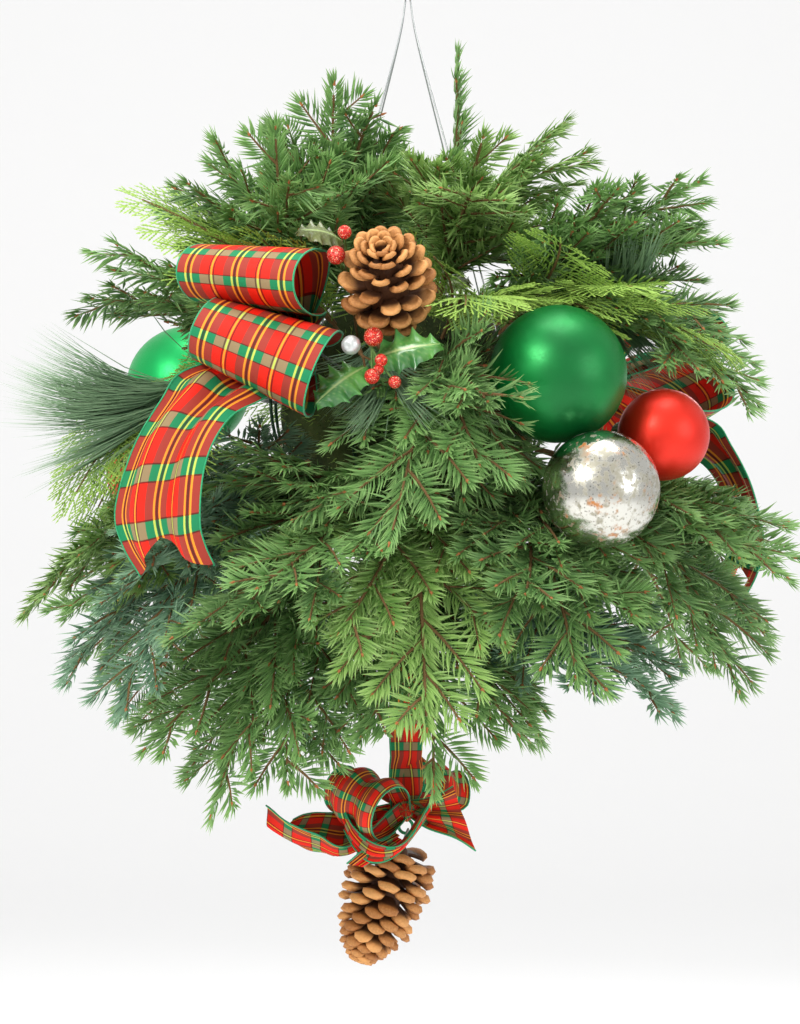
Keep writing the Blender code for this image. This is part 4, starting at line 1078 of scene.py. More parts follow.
def wide_bow(name, turn, lift):
    knot, pick = spun(BOW_KNOT, turn, lift), (name + "_pick",)
    for part, loop in (("upper_loop", UPPER_LOOP), ("lower_loop", LOWER_LOOP)):
        guides = loop_guides(
            knot, spun(loop["centre"], turn, lift), turned(loop["across"], turn),
            turned(loop["out"], turn), WIDE_WIDTH / 2, loop["depth"], loop["heights"],
        )
        dress_ribbon(f"{name}_{part}", name, guides, WIDE_WIDTH, WIDE_TARTAN)
    tied = turned((0.008, 0, 0), turn)
    left = smooth_line([knot - tied, *(spun(p, turn, lift) for p in TAIL_LEFT)], 61)
    right = smooth_line([knot + tied, *(spun(p, turn, lift) for p in TAIL_RIGHT)], 61)
    dress_ribbon(f"{name}_tail", name, (left, right), WIDE_WIDTH, WIDE_TARTAN, V_CUT)
    inward = unit(MOSS_CENTRE - knot)
    dress(ribbon_knot(f"{name}_knot", knot, WIDE_KNOT_SIZE, inward, WIDE_TARTAN), "tartan", name)
    clearing.add(knot, knot, 0.016)
    for start, end, radius in WIDE_BOW_CLEAR:
        clearing.add(spun(start, turn, lift), spun(end, turn, lift), radius)


wide_bow("bow_front", 0, 0)
wide_bow("bow_rear", 143, -0.03)
for pick in ("bow_front_pick", "bow_rear_pick"):
    bpy.data.objects[pick].data.materials.clear()
    bpy.data.objects[pick].data.materials.append(WIRE_LOOK)

# %% [markdown]
# ## The low bow
#
# A narrower ribbon of the same tartan goes round the basket's foot bar, comes down
# folded lengthwise, and is tied into a small bow that carries the long cone. One
# loop stands up at the left, a band sweeps across the front, and the tails are
# folded lengthwise.

# %% Low bow
LOW_KNOT = np.array((-0.002, -0.010, -0.734))
LOW_KNOT_SIZE = 0.0112
NARROW_WIDTH = 0.060
STRAP_WIDTH = 0.050
FOOT_Z = -0.379 - 0.127 * math.sin(math.radians(75))
STRAP_TURN = 0.0026
STRAP_HALVES = [0.009] * 7 + [0.012, 0.0145, 0.009]
FOLD_GAP = 0.0016
# Each loop: its centre, across and out directions, depth, and heights of its edges.
LOW_LOOPS = {
    "left_loop": (
        (-0.036, -0.034, -0.725), (0.80, -0.55, -0.35), (-0.6, -0.62, 0.5), 0.030, (0.022, 0.026),
    ),
    "right_loop": (
        (0.020, 0.022, -0.722), (0.70, 0.60, -0.30), (0.5, 0.7, 0.5), 0.024, (0.018, 0.020),
    ),
}
# Each folded stretch: its width as it lies, and its lines from one edge to the other.
LOW_FOLDS = {
    "front_band": (0.034, (
        ((-0.0565, -0.046, -0.7236), (-0.0450, -0.058, -0.7440), (-0.0257, -0.064, -0.7577),
         (-0.0027, -0.058, -0.7552), (0.0212, -0.040, -0.7184)),
        ((-0.0540, -0.040, -0.7480), (-0.0440, -0.048, -0.7640), (-0.0300, -0.054, -0.7740),
         (-0.0100, -0.044, -0.7680), (0.0150, -0.026, -0.7400)),
    )),
    "left_tail": (NARROW_WIDTH, (
        ((-0.006, -0.020, -0.730), (-0.050, -0.040, -0.7640), (-0.080, -0.046, -0.7515),
         (-0.104, -0.046, -0.7430), (-0.1225, -0.042, -0.7298)),
        ((-0.004, -0.016, -0.738), (-0.052, -0.034, -0.7705), (-0.074, -0.036, -0.7690),
         (-0.093, -0.036, -0.7640), (-0.1180, -0.038, -0.7470)),
        ((-0.002, -0.006, -0.730), (-0.050, -0.010, -0.7380), (-0.074, -0.014, -0.7375),
         (-0.090, -0.020, -0.7395), (-0.1000, -0.026, -0.7440)),
    )),
    "right_tail": (NARROW_WIDTH, (
        ((0.0020, -0.012, -0.7270), (0.0150, -0.022, -0.7240), (0.0265, -0.026, -0.7200),
         (0.0385, -0.024, -0.7130)),
        ((0.0020, -0.014, -0.7400), (0.0180, -0.026, -0.7490), (0.0390, -0.032, -0.7560),
         (0.0580, -0.030, -0.7680)),
    )),
    "short_tail": (0.022, (
        ((-0.010, -0.030, -0.752), (-0.034, -0.052, -0.762), (-0.0520, -0.056, -0.7760)),
        ((-0.006, -0.026, -0.760), (-0.026, -0.046, -0.772), (-0.0380, -0.050, -0.7790)),
    )),
}


def low_ribbon(part, guides, width, waves=2.0):
    dress_ribbon(
        "bow_low_" + part, "bow_low", guides, width, NARROW_TARTAN, waves=waves,
    )


def strap_guides():
    """Round the foot bar, then down to the knot, folded lengthwise on its right side."""
    circle = [
        np.array((0, STRAP_TURN * math.cos(a), FOOT_Z + STRAP_TURN * math.sin(a)))
        for a in (math.radians(200 - 44 * k) for k in range(6, -1, -1))
    ]
    down = [mixed(circle[-1], LOW_KNOT, s) for s in (0.3, 0.7, 1.0)]
    front, fold, back = [], [], []
    for k, (place, half) in enumerate(zip(circle + down, STRAP_HALVES)):
        gap = 0.0 if k < len(circle) else FOLD_GAP
        front.append(place + np.array((-half, -gap, 0)))
        fold.append(place + np.array((half, 0, 0)))
        back.append(place + np.array((-half * 0.8, gap + 0.0008, 0)))
    return [smooth_line(line, 61) for line in (front, fold, back)]


def keep_low_bow_clear(strap):
    clearing.add(LOW_KNOT + np.array((0, 0, 0.03)), LOW_KNOT - np.array((0, 0, 0.14)), 0.045)
    middle = 0.5 * (strap[0] + strap[1])[::3]
    middle = middle[middle[:, 2] < -0.655]
    clearing.add(middle, middle + np.array((-0.006, -0.24, -0.012)), 0.017)


strap = strap_guides()
low_ribbon("strap", strap, STRAP_WIDTH, waves=1.0)
for part, (centre, across, out, depth, heights) in LOW_LOOPS.items():
    guides = loop_guides(LOW_KNOT, centre, across, out, NARROW_WIDTH * 0.45, depth, heights, 0.006, 48)
    low_ribbon(part, guides, NARROW_WIDTH)
for part, (width, lines) in LOW_FOLDS.items():
    low_ribbon(part, [smooth_line(line, 41) for line in lines], width)
low_knot = ribbon_knot("bow_low_knot", LOW_KNOT, LOW_KNOT_SIZE, (0, -1, 0), NARROW_TARTAN)
dress(low_knot, "tartan", "bow_low")
keep_low_bow_clear(strap)

# %% [markdown]
# ## Hanger, basket and link
#
# The hanger is four galvanised wires from one crimped ring, and the basket is
# welded from dipped wire. The solids have the same centre lines with few sides, so
# here each line gets a rounder wire.

# %% Wires
RING_RADIUS = 0.010
RING_WIRE = 0.0015
SLEEVE_TOP, SLEEVE_BOTTOM = -0.0182, -0.0300
RIM_Z, RIM_RADIUS = -0.379, 0.127
WIRE_RADIUS = 0.0007
HOOK_RADIUS = 0.0020 + 0.0003 + WIRE_RADIUS
WIRE_AZIMUTHS = (-45, 45, 135, -135)
SLEEVE_RADII = (0.0046, 0.0050, 0.0048, 0.0042, 0.0044, 0.0042, 0.0048, 0.0050, 0.0046)
# Each hoop's angle below the rim, seen from the middle, and its wire's radius.
HOOPS = ((0, 0.0020), (35, 0.0015), (75, 0.0015))
RIB_WIRE = 0.0015
RIBS = 8
EAST, NORTH = np.array((1, 0, 0)), np.array((0, 1, 0))


def circle_line(centre, first, second, radius, count=48):
    angles = np.linspace(0, math.tau, count, endpoint=False)
    return [centre + radius * (first * math.cos(a) + second * math.sin(a)) for a in angles]


def hanger_ring():
    centre = np.array((0, 0, RING_WIRE - RING_RADIUS))
    round_line = circle_line(centre, EAST, UP, RING_RADIUS)
    ring = tube_piece("ring", round_line, RING_WIRE, WIRE_LOOK, closed=True, sides=12)
    heights = np.linspace(SLEEVE_TOP, SLEEVE_BOTTOM, len(SLEEVE_RADII))
    sleeve = tube_piece("sleeve", [(0, 0, z) for z in heights], SLEEVE_RADII, WIRE_LOOK, sides=16)
    return join_pieces("hanging_ring", [ring, sleeve])


def hanger_line(azimuth):
    out = around(azimuth, 1, 0)
    rim = around(azimuth, RIM_RADIUS, RIM_Z)
    top = around(azimuth, 0.0026, SLEEVE_BOTTOM - 0.0003)
    angles = [math.radians(160 + 25 * k) for k in range(8)]
    hook = [rim + HOOK_RADIUS * (out * math.cos(a) + UP * math.sin(a)) for a in angles]
    neck = mixed(top, hook[0], 0.12) - out * 0.0040
    return smooth_line([top, neck, mixed(top, hook[0], 0.5) - out * 0.0015, *hook], 90)


def basket_wires():
    parts = []
    for drop, thick in HOOPS:
        fall = math.radians(drop)
        centre = np.array((0, 0, RIM_Z - RIM_RADIUS * math.sin(fall)))
        line = circle_line(centre, EAST, NORTH, RIM_RADIUS * math.cos(fall), 96)
        parts.append(tube_piece("hoop", line, thick, FRAME_WIRE_LOOK, closed=True))
    foot = HOOPS[-1][0]
    for k in range(RIBS):
        azimuth = 360 / RIBS * (k + 0.5)
        falls = np.radians(np.linspace(0, foot, 16))
        rib = [around(azimuth, RIM_RADIUS * math.cos(f), RIM_Z - RIM_RADIUS * math.sin(f)) for f in falls]
        parts.append(tube_piece("rib", rib, RIB_WIRE, FRAME_WIRE_LOOK))
    reach = RIM_RADIUS * math.cos(math.radians(foot))
    bar = [(x, 0, FOOT_Z) for x in np.linspace(-reach, reach, 5)]
    parts.append(tube_piece("bar", bar, RIB_WIRE, FRAME_WIRE_LOOK))
    return join_pieces("basket_wires", parts)


dress(hanger_ring(), "wire", "hang_ring")
for number, azimuth in enumerate(WIRE_AZIMUTHS, 1):
    wire = tube_piece(f"hanger_{number}", hanger_line(azimuth), WIRE_RADIUS, WIRE_LOOK)
    dress(wire, "wire", f"hanger_wire_{number}")
dress(basket_wires(), "basket_wire", "basket_frame")
# The greens leave a gap in front of the wires and behind them, as in the photo.
for across in (-0.006, 0.010, 0.024):
    for height in (-0.05, -0.08, -0.11, -0.138):
        clearing.add((across, -0.13, height), (across, 0.20, height), 0.016)

LINK_RADIUS, LINK_WIRE, EYE_WIRE = 0.006, 0.0014, 0.0010
LINK_CENTRE = LOW_KNOT - UP * 0.0150
# The eye hangs in the link: two ring radii less the two wires and some play.
EYE_CENTRE = LINK_CENTRE - UP * (0.012 - 0.0015 - 0.0010 - 0.0015)
LEAN = math.radians(20)
LOW_AXIS = np.array((-math.sin(LEAN), 0, -math.cos(LEAN)))
LOW_TOP = EYE_CENTRE + LOW_AXIS * 0.0080
link_line = circle_line(LINK_CENTRE, EAST, UP, LINK_RADIUS)
link = tube_piece("ribbon_link", link_line, LINK_WIRE, HEM_LOOK, closed=True)
dress(link, "tartan", "bow_low")
eye_line = circle_line(EYE_CENTRE, LOW_AXIS, NORTH, LINK_RADIUS)
eye = tube_piece("eye", eye_line, EYE_WIRE, WIRE_LOOK, closed=True)
shank_line = [EYE_CENTRE + LOW_AXIS * s for s in (0.006, 0.012, 0.020)]
shank = tube_piece("shank", shank_line, EYE_WIRE, WIRE_LOOK)
dress(join_pieces("cone_screw_eye", [eye, shank]), "wire", "cone_low_eye")

# %% [markdown]
# ## Pine cones
#
# A cone is one woody scale, repeated up a spiral that turns 137.5 degrees each
# time. The scale is narrow at its root, widest near the end and thick at its
# rounded lip, so one scale is modelled from a grid and copied. The two small cones
# are open like flowers and look outwards. The long one hangs half open.

# %% Cone material and one scale
def cone_material():
    recipe = Recipe("cone scales", Specular_IOR_Level=0.3)
    along, tone = recipe.own("along"), recipe.own("tone")
    grain, broad = recipe.noise(520.0, 4.0), recipe.noise(60.0, 3.0)
    inner = recipe.mix(grain, colour("2e1a10"), colour("5f3a20"))
    lip = recipe.mix((grain * 0.6 + tone * 0.5).ramp(0.2, 0.9), colour("9a6232"), colour("d79c5e"))
    look = recipe.mix((along + broad * 0.16).ramp(0.62, 0.90), inner, lip)
    return recipe.set(
        Base_Color=look, Roughness=grain * 0.2 + 0.52, Normal=recipe.bump(grain, 0.5, 0.0005),
    )


CONE_LOOK = cone_material()
GOLDEN_TURN = 137.508


def one_scale():
    """A scale of unit length along Y that faces up Z, as corners, quads and place along it."""
    scale = flat_grid("one_scale", 6, 8)
    points = coordinates(scale)
    u, t = points[:, 0] * 2, points[:, 1] + 0.5
    width = np.interp(t, [0, 0.3, 0.6, 0.85, 1.0], [0.16, 0.34, 0.72, 0.80, 0.52])
    points[:, 0] = u * width / 2
    points[:, 1] = t - 0.16 * u * u * t
    points[:, 2] = 0.10 * t * t + 0.10 * u * u * t
    set_coordinates(scale, points)
    thickened(scale, 0.13)
    points = coordinates(scale)
    below = np.zeros(len(points))
    below[len(points) // 2:] = 1
    lip = np.exp(-((points[:, 1] - 0.86) / 0.13) ** 2)
    umbo = np.exp(-((points[:, 1] - 0.84) / 0.06) ** 2 - (points[:, 0] / 0.07) ** 2)
    points[:, 2] -= below * (0.19 * lip + 0.05 * umbo)
    points[:, 2] += (1 - below) * 0.03 * lip
    faces = np.array([list(p.vertices) for p in scale.data.polygons])
    along = np.clip(points[:, 1], 0, 1)
    bpy.data.objects.remove(scale)
    return points, faces, along


SCALE_POINTS, SCALE_FACES, SCALE_ALONG = one_scale()


def pine_cone(name, base, tip, radius, count, size, openness, seed, shoulder=0.16):
    rng = np.random.default_rng(seed)
    base, tip = np.asarray(base, float), np.asarray(tip, float)
    length = np.linalg.norm(tip - base)
    axis = unit(tip - base)
    first = unit(np.cross(axis, (0.2, 0.1, 0.97)))
    second = np.cross(axis, first)
    core = round_ball(name + "_core", 24, 16, 1)
    shape = coordinates(core) * np.array((0.40 * radius, 0.40 * radius, 0.46 * length))
    core_faces = [list(p.vertices) for p in core.data.polygons]
    bpy.data.objects.remove(core)
    frame_axes = np.stack((first, second, axis))
    places = [shape @ frame_axes + base + axis * length * 0.46]
    faces, alongs, tones = [], [np.full(len(shape), 0.1)], [np.full(len(shape), 0.2)]
    quads = [f for f in core_faces if len(f) == 4]
    tips = np.array([f for f in core_faces if len(f) == 3])
    shift = len(shape)
    for k in range(count):
        share = (k + 0.5) / count
        turn = math.radians(k * GOLDEN_TURN)
        girth = radius * math.sin(math.pi * (shoulder + (0.96 - shoulder) * share)) ** 0.6
        lean = math.radians(openness + (66 - openness) * share + rng.normal(0, 3))
        out = first * math.cos(turn) + second * math.sin(turn)
        run = out * math.cos(lean) + axis * math.sin(lean)
        side = unit(np.cross(run, axis))
        face = np.cross(side, run)
        root = base + axis * length * (0.08 + 0.80 * share) + run * 0.16 * girth
        long = max(0.6 * size, girth) * 0.86 * rng.uniform(0.95, 1.02)
        wide = size * (1.62 - 0.75 * share)
        grid = np.stack((side * wide, run * long, face * wide * 0.8))
        places.append(SCALE_POINTS @ grid + root)
        faces.append(SCALE_FACES + shift)
        shift += len(SCALE_POINTS)
        alongs.append(SCALE_ALONG)
        tones.append(np.full(len(SCALE_POINTS), rng.uniform(0, 1)))
    kept = np.concatenate([np.array(quads), *faces])
    every = np.concatenate([kept[:, [0, 1, 2]], kept[:, [0, 2, 3]], tips])
    return piece_from(
        name, np.concatenate(places), every, [CONE_LOOK], None,
        {"along": np.concatenate(alongs), "tone": np.concatenate(tones)}, smooth=True,
    )


# %% Three cones
REAR_TURN = 186
FRONT_CONE_BASE, FRONT_CONE_TIP = (-0.014, -0.196, -0.322), (-0.021, -0.268, -0.272)
OPEN_SCALES, LONG_SCALES = 66, 104
LONG_CONE = 0.112
for name, turn, seed in (("front", 0, 3), ("rear", REAR_TURN, 4)):
    base, tip = turned(FRONT_CONE_BASE, turn), turned(FRONT_CONE_TIP, turn)
    cone = pine_cone("open_cone_" + name, base, tip, 0.043, OPEN_SCALES, 0.0140, 4, seed)
    dress(cone, "cone", "cone_" + name)
    axis = unit(tip - base)
    _, root, exit_point = stem_start(turn - 3, 24)
    stem = smooth_line([base + axis * 0.01, base - axis * 0.02, exit_point, root], 12)
    dress(tube_piece("cone_stem_" + name, stem, 0.0022, TWIG_LOOK), "cone", "cone_" + name)
    clearing.add(base, tip, 0.047)
    clearing.add(base, base + axis * 0.13, 0.040)
long_tip = LOW_TOP + LOW_AXIS * LONG_CONE
low_cone = pine_cone("long_cone", LOW_TOP, long_tip, 0.0395, LONG_SCALES, 0.0158, -4, 5, 0.26)
dress(low_cone, "cone", "cone_low")
clearing.add(LOW_TOP, long_tip, 0.045)
print("scales on the three cones", 2 * OPEN_SCALES + LONG_SCALES)

# %% [markdown]
# ## Holly, berries and the silver bead
#
# The holly leaf is a waxy oval with four spines on each side, bent up between them
# and down at each spine. It starts as a grid whose edge follows the spines. The
# glittered berries are beads on thin picks, with a dimple at the end.

# %% Holly leaf and berries
def holly_material(name, dark, light):
    recipe = Recipe(name, Coat_Roughness=0.15, Specular_IOR_Level=0.5)
    vein, tone = recipe.own("vein"), recipe.noise(40.0, 3.0)
    body = recipe.mix(tone.ramp(0.3, 0.7), colour(dark), colour(light))
    return recipe.set(
        Base_Color=recipe.mix(vein, body, colour("a9c07a")), Roughness=tone * 0.15 + 0.24,
        Coat_Weight=0.35, Normal=recipe.bump(recipe.noise(160.0, 3.0), 0.15, 0.0006),
    )


def glitter_material():
    recipe = Recipe("glittered berry", Specular_IOR_Level=0.7)
    flake = recipe.cells(1500.0, "Color")
    split = recipe.tree.nodes.new("ShaderNodeSeparateXYZ")
    recipe.feed(split.inputs[0], flake)
    red, green = Wire(recipe, split.outputs[0]), Wire(recipe, split.outputs[1])
    look = recipe.mix(red.ramp(0.2, 0.9), colour("a80c10"), colour("f23a22"))
    # Painted glints: some flakes turn pale peach, as if catching the light.
    look = recipe.mix(green.ramp(0.86, 0.98), look, colour("ffc9a0"))
    return recipe.set(
        Base_Color=look, Metallic=red * 0.6, Roughness=green * 0.3 + 0.18,
        Normal=recipe.bump(red, 0.9, 0.0006),
    )


HOLLY_LOOK = holly_material("holly leaf", "2c6a30", "5c9a44")
# A darker, olive copy of the leaf material, for the small upper leaf.
DARK_OLIVE_HOLLY_LOOK = holly_material("olive holly leaf", "3a4424", "6c7440")
BERRY_LOOK = glitter_material()
BERRY_STEM_LOOK = twig_material("berry pick", "3c5a2c", "6c8a4c")
BEAD_LOOK = satin_ball_material("silver bead", "e4e6e4", "b8bcbc")
LEAF_THICK = 0.0006
SPINES = 4.5


def holly_leaf(name, base, tip, face, half, look):
    base, tip = np.asarray(base, float), np.asarray(tip, float)
    run = tip - base
    length = np.linalg.norm(run)
    run = run / length
    side = unit(np.cross(run, face))
    over = np.cross(side, run)
    leaf = flat_grid(name, 16, 40)
    flat = coordinates(leaf)
    u, t = flat[:, 0] * 2, flat[:, 1] + 0.5
    body = np.sin(math.pi * np.clip(t, 0.015, 0.985) ** 0.92) ** 0.62
    spine = np.abs(((t * SPINES + 0.05) % 1.0) * 2 - 1) ** 2.2
    edge = half * body * (0.70 + 0.42 * spine * np.abs(u) ** 3)
    wave = 0.16 * half * np.cos(t * SPINES * math.tau) * u * u
    cup = -0.30 * half * np.abs(u) ** 1.5
    arch = 0.10 * length * np.sin(math.pi * t)
    groove = -0.05 * half * np.exp(-(u / 0.10) ** 2)
    points = (
        base + side * (u * edge)[:, None] + run * (length * t)[:, None]
        + over * (wave + cup + arch + groove)[:, None]
    )
    set_coordinates(leaf, points)
    rib = np.exp(-(u / 0.07) ** 2)
    slanted = ((t - 0.30 * np.abs(u)) * 9) % 1.0 - 0.5
    veins = np.exp(-(slanted / 0.10) ** 2) * (1 - np.abs(u)) * 0.5
    layer = leaf.data.attributes.new("vein", "FLOAT", "POINT")
    layer.data.foreach_set("value", np.maximum(rib, veins).astype(np.float32))
    thickened(leaf, LEAF_THICK)
    bpy.ops.object.shade_smooth_by_angle(angle=math.radians(50))
    leaf.data.materials.append(look)
    return leaf


def bead(name, centre, radius, away, look):
    made = round_ball(name, 28, 18, radius)
    points = coordinates(made)
    rise = points[:, 2] / radius
    dimple = 1 - 0.14 * np.exp(-((rise - 1) / 0.05) ** 2)
    set_coordinates(made, points * dimple[:, None])
    bpy.ops.object.shade_smooth()
    place_mesh(made, turn_to(away), centre)
    made.data.materials.append(look)
    return made


HOLLY_FORK = (-0.038, -0.232, -0.352)
LEAVES = (
    ((-0.033, -0.240, -0.362), (-0.072, -0.262, -0.392), (-0.2, -0.9, 0.3), 0.019, HOLLY_LOOK),
    ((-0.032, -0.240, -0.358), (0.024, -0.262, -0.346), (0.1, -0.9, 0.35), 0.019, HOLLY_LOOK),
    ((-0.052, -0.215, -0.262), (-0.085, -0.246, -0.256), (-0.3, -0.8, 0.4), 0.014, DARK_OLIVE_HOLLY_LOOK),
)
BERRIES = (
    (-0.0275, -0.2620, -0.3410, 0.0075), (-0.0215, -0.2700, -0.3595, 0.0050),
    (-0.0285, -0.2720, -0.3720, 0.0060), (-0.0110, -0.2710, -0.3765, 0.0050),
    (-0.0235, -0.2690, -0.3665, 0.0042),
)
UPPER_BERRIES = ((-0.0502, -0.2500, -0.2586, 0.0055), (-0.0568, -0.2500, -0.2765, 0.0074))
BERRY_WIRE = 0.0009
BERRY_FORK = (-0.0290, -0.2570, -0.3490)
UPPER_FORK = (-0.048, -0.190, -0.290)
BERRY_BEND = (-0.0330, -0.2350, -0.3430)
SILVER_BEAD = (-0.0449, -0.2620, -0.3473, 0.0076)


def berry_on_pick(name, berry, fork, turn, node, look=BERRY_LOOK):
    centre, radius = turned(berry[:3], turn), berry[3]
    fork = turned(fork, turn)
    away = unit(centre - fork)
    sag = mixed(fork, centre, 0.5) - UP * 0.002
    line = smooth_line([fork, sag, centre - away * radius * 0.7], 8)
    stem = tube_piece(name + "_stem", line, BERRY_WIRE, BERRY_STEM_LOOK)
    ball = bead(name, centre, radius, away, look)
    dress(join_pieces(name, [ball, stem]), "berry", node)
    clearing.add(centre, centre, radius + 0.003)
    clearing.add(centre, centre + unit((centre[0], centre[1], 0)) * 0.07, radius + 0.001)


def holly_and_berries(place, turn):
    node, berries = "holly_" + place, "berries_" + place
    fork = turned(HOLLY_FORK, turn)
    _, root, exit_point = stem_start(turn - 24, 30)
    parts = [tube_piece("holly_stem", smooth_line([root, exit_point, fork], 12), 0.0020, TWIG_LOOK)]
    for number, (base, tip, face, half, look) in enumerate(LEAVES):
        base, tip = turned(base, turn), turned(tip, turn)
        leaf = holly_leaf(f"holly_{place}_leaf_{number + 1}", base, tip, turned(face, turn), half, look)
        dress(leaf, "holly", node)
        foot = fork if number < 2 else exit_point
        line = smooth_line([foot, mixed(foot, base, 0.5), base + (tip - base) * 0.04], 8)
        parts.append(tube_piece("stalk", line, 0.0010, TWIG_LOOK))
        clearing.add(base, tip, half * 0.9)
        middle = mixed(base, tip, 0.5)
        clearing.add(middle, middle + unit((base[0], base[1], 0)) * 0.08, half)
    dress(join_pieces(f"holly_{place}_stems", parts), "holly", node)
    _, root, exit_point = stem_start(turn - 8, 20)
    line = smooth_line([root, exit_point, turned(BERRY_BEND, turn), turned(BERRY_FORK, turn)], 16)
    dress(tube_piece(f"berries_{place}_stem", line, 0.0010, BERRY_STEM_LOOK), "berry", berries)
    for number, berry in enumerate(BERRIES, 1):
        berry_on_pick(f"berry_{place}_{number}", berry, BERRY_FORK, turn, berries)
    for number, berry in enumerate(UPPER_BERRIES, 1):
        berry_on_pick(f"upper_berry_{place}_{number}", berry, UPPER_FORK, turn, berries)
    berry_on_pick(f"silver_bead_{place}", SILVER_BEAD, BERRY_BEND, turn, berries, BEAD_LOOK)


holly_and_berries("front", 0)
holly_and_berries("rear", REAR_TURN)

# %% [markdown]
# ## Moss ball
#
# Between the stems a little sheet moss shows. A sphere is roughened by sines that
# don't line up, and short fibres lie over it in all directions.

# %% Moss
def moss_material():
    recipe = Recipe("sheet moss", Specular_IOR_Level=0.15)
    broad, fine = recipe.noise(28.0, 4.0), recipe.noise(260.0, 4.0)
    look = recipe.mix(broad.ramp(0.3, 0.7), colour("1e2814"), colour("3f4c26"))
    look = recipe.mix(fine.ramp(0.5, 0.8) * 0.5, look, colour("565434"))
    return recipe.set(Base_Color=look, Roughness=fine * 0.1 + 0.85, Normal=recipe.bump(fine, 0.8, 0.002))


MOSS_LOOK = moss_material()


def moss_cover():
    rng = np.random.default_rng(77)
    deselect()
    bpy.ops.mesh.primitive_ico_sphere_add(subdivisions=4, radius=MOSS_RADIUS)
    moss = finished("moss_cover")
    points = coordinates(moss)
    waves = sum(np.sin(points @ rng.normal(0, 260, 3) + phase) for phase in range(7))
    set_coordinates(moss, points * (1 + 0.0045 * waves)[:, None] + MOSS_CENTRE)
    bpy.ops.object.shade_smooth()
    moss.data.materials.append(MOSS_LOOK)
    return moss


def moss_fibres(count=3000):
    greens = Greens(78)
    rng = greens.rng
    away = units(rng.normal(0, 1, (count, 3)), 0)
    flat = units(np.cross(away, rng.normal(0, 1, (count, 3))), 0)
    runs = flat * 0.85 + away * 0.52
    greens.add_needles(
        MOSS_CENTRE + away * 0.1085, runs, away, rng.uniform(0.006, 0.014, count),
        np.full(count, 0.0011), rng.uniform(0, 1, count), 0.3,
    )
    return greens


dress(moss_cover(), "moss", "moss_ball")
fibres = moss_fibres()
fibres.kinds.append(np.zeros(0, dtype=int))
dress(fibres.build("moss_fibres", [CEDAR_LOOK, TWIG_LOOK]), "moss", "moss_ball")
print("cones, holly, berries and moss", sum(pieces_made.values()), "triangles so far")

# %% [markdown]
# ## Fir boughs
#
# Each bough is one cut branch pushed into a hole. It forks near the root into
# leaders that end at the same tips as the solids. Many carry one more short spray
# beside the first, and the fillers close the gaps as the florist would. A bough is
# its hole's azimuth and elevation, its green, whether it has the extra spray, and
# its tips, each by azimuth, distance from the axis and height.

# %% Fir
FIR_BOUGHS = {
    "fir_top": (62, 76, FIR_LOOK, 0, [(59, 0.050, -0.085)]),
    "fir_top_left": (-60, 66, FIR_LOOK, 1, [(-38, 0.101, -0.118), (-13, 0.121, -0.141)]),
    "fir_upper_left": (-52, 44, FIR_LOOK, 1, [(-40, 0.170, -0.162), (-48, 0.240, -0.211)]),
    "fir_upper_right": (30, 62, YELLOW_FIR_LOOK, 1, [(51, 0.186, -0.180)]),
    "fir_right_high": (62, 42, FIR_LOOK, 1, [
        (62, 0.270, -0.205), (61, 0.290, -0.328), (65, 0.280, -0.253),
    ]),
    "fir_left_shoulder": (-62, 26, FIR_LOOK, 1, [(-60, 0.275, -0.258), (-66, 0.285, -0.300)]),
    "fir_left_tip": (-77, -12, YELLOW_FIR_LOOK, 1, [(-72, 0.335, -0.560)]),
    "fir_left_low": (-56, -22, BLUE_FIR_LOOK, 1, [(-66, 0.310, -0.612), (-54, 0.290, -0.640)]),
    "fir_left_hem": (-44, -48, FIR_LOOK, 0, [
        (-44, 0.230, -0.722), (-52, 0.270, -0.668), (-26, 0.220, -0.692),
    ]),
    "fir_front_left": (-12, -24, FIR_LOOK, 1, [(-22, 0.310, -0.535), (-38, 0.300, -0.575)]),
    "fir_front_middle": (7, 15, FIR_LOOK, 1, [(-3, 0.285, -0.500), (12, 0.290, -0.392)]),
    "fir_front_low": (2, -24, YELLOW_FIR_LOOK, 1, [(-11, 0.282, -0.570), (3, 0.262, -0.644)]),
    "fir_front_foot": (8, -50, FIR_LOOK, 0, [
        (6, 0.190, -0.700), (21, 0.240, -0.652), (-10, 0.215, -0.655),
    ]),
    "fir_right_front": (35, -24, FIR_LOOK, 1, [(18, 0.290, -0.540), (29, 0.270, -0.605)]),
    "fir_right_low": (48, -46, BLUE_FIR_LOOK, 1, [(35, 0.258, -0.612), (55, 0.262, -0.640)]),
    "fir_right_tip": (64, -14, FIR_LOOK, 1, [(63, 0.345, -0.530), (60, 0.310, -0.622)]),
    "fir_right_side": (98, -23, FIR_LOOK, 0, [(90, 0.310, -0.580), (122, 0.300, -0.620)]),
    "fir_back": (168, -23, FIR_LOOK, 0, [
        (180, 0.300, -0.590), (156, 0.290, -0.605), (148, 0.230, -0.685),
    ]),
    "fir_back_left": (-140, -24, BLUE_FIR_LOOK, 0, [(-140, 0.300, -0.600), (-156, 0.240, -0.690)]),
    "fir_left_side": (-102, -24, FIR_LOOK, 0, [(-104, 0.315, -0.570), (-116, 0.250, -0.670)]),
    "fir_back_top": (176, 58, FIR_LOOK, 0, [(176, 0.130, -0.140), (-152, 0.240, -0.220)]),
    "fir_back_shoulder": (142, 34, YELLOW_FIR_LOOK, 0, [(136, 0.250, -0.230), (160, 0.270, -0.290)]),
}


def leader_line(root, exit_point, heading, tip, count=40):
    reach = np.linalg.norm(tip - exit_point)
    control = exit_point + heading * 0.45 * reach
    arc = [bend(exit_point, control, tip, s) for s in np.linspace(0, 1, 24)]
    return evenly(np.concatenate(([root], arc)), count)


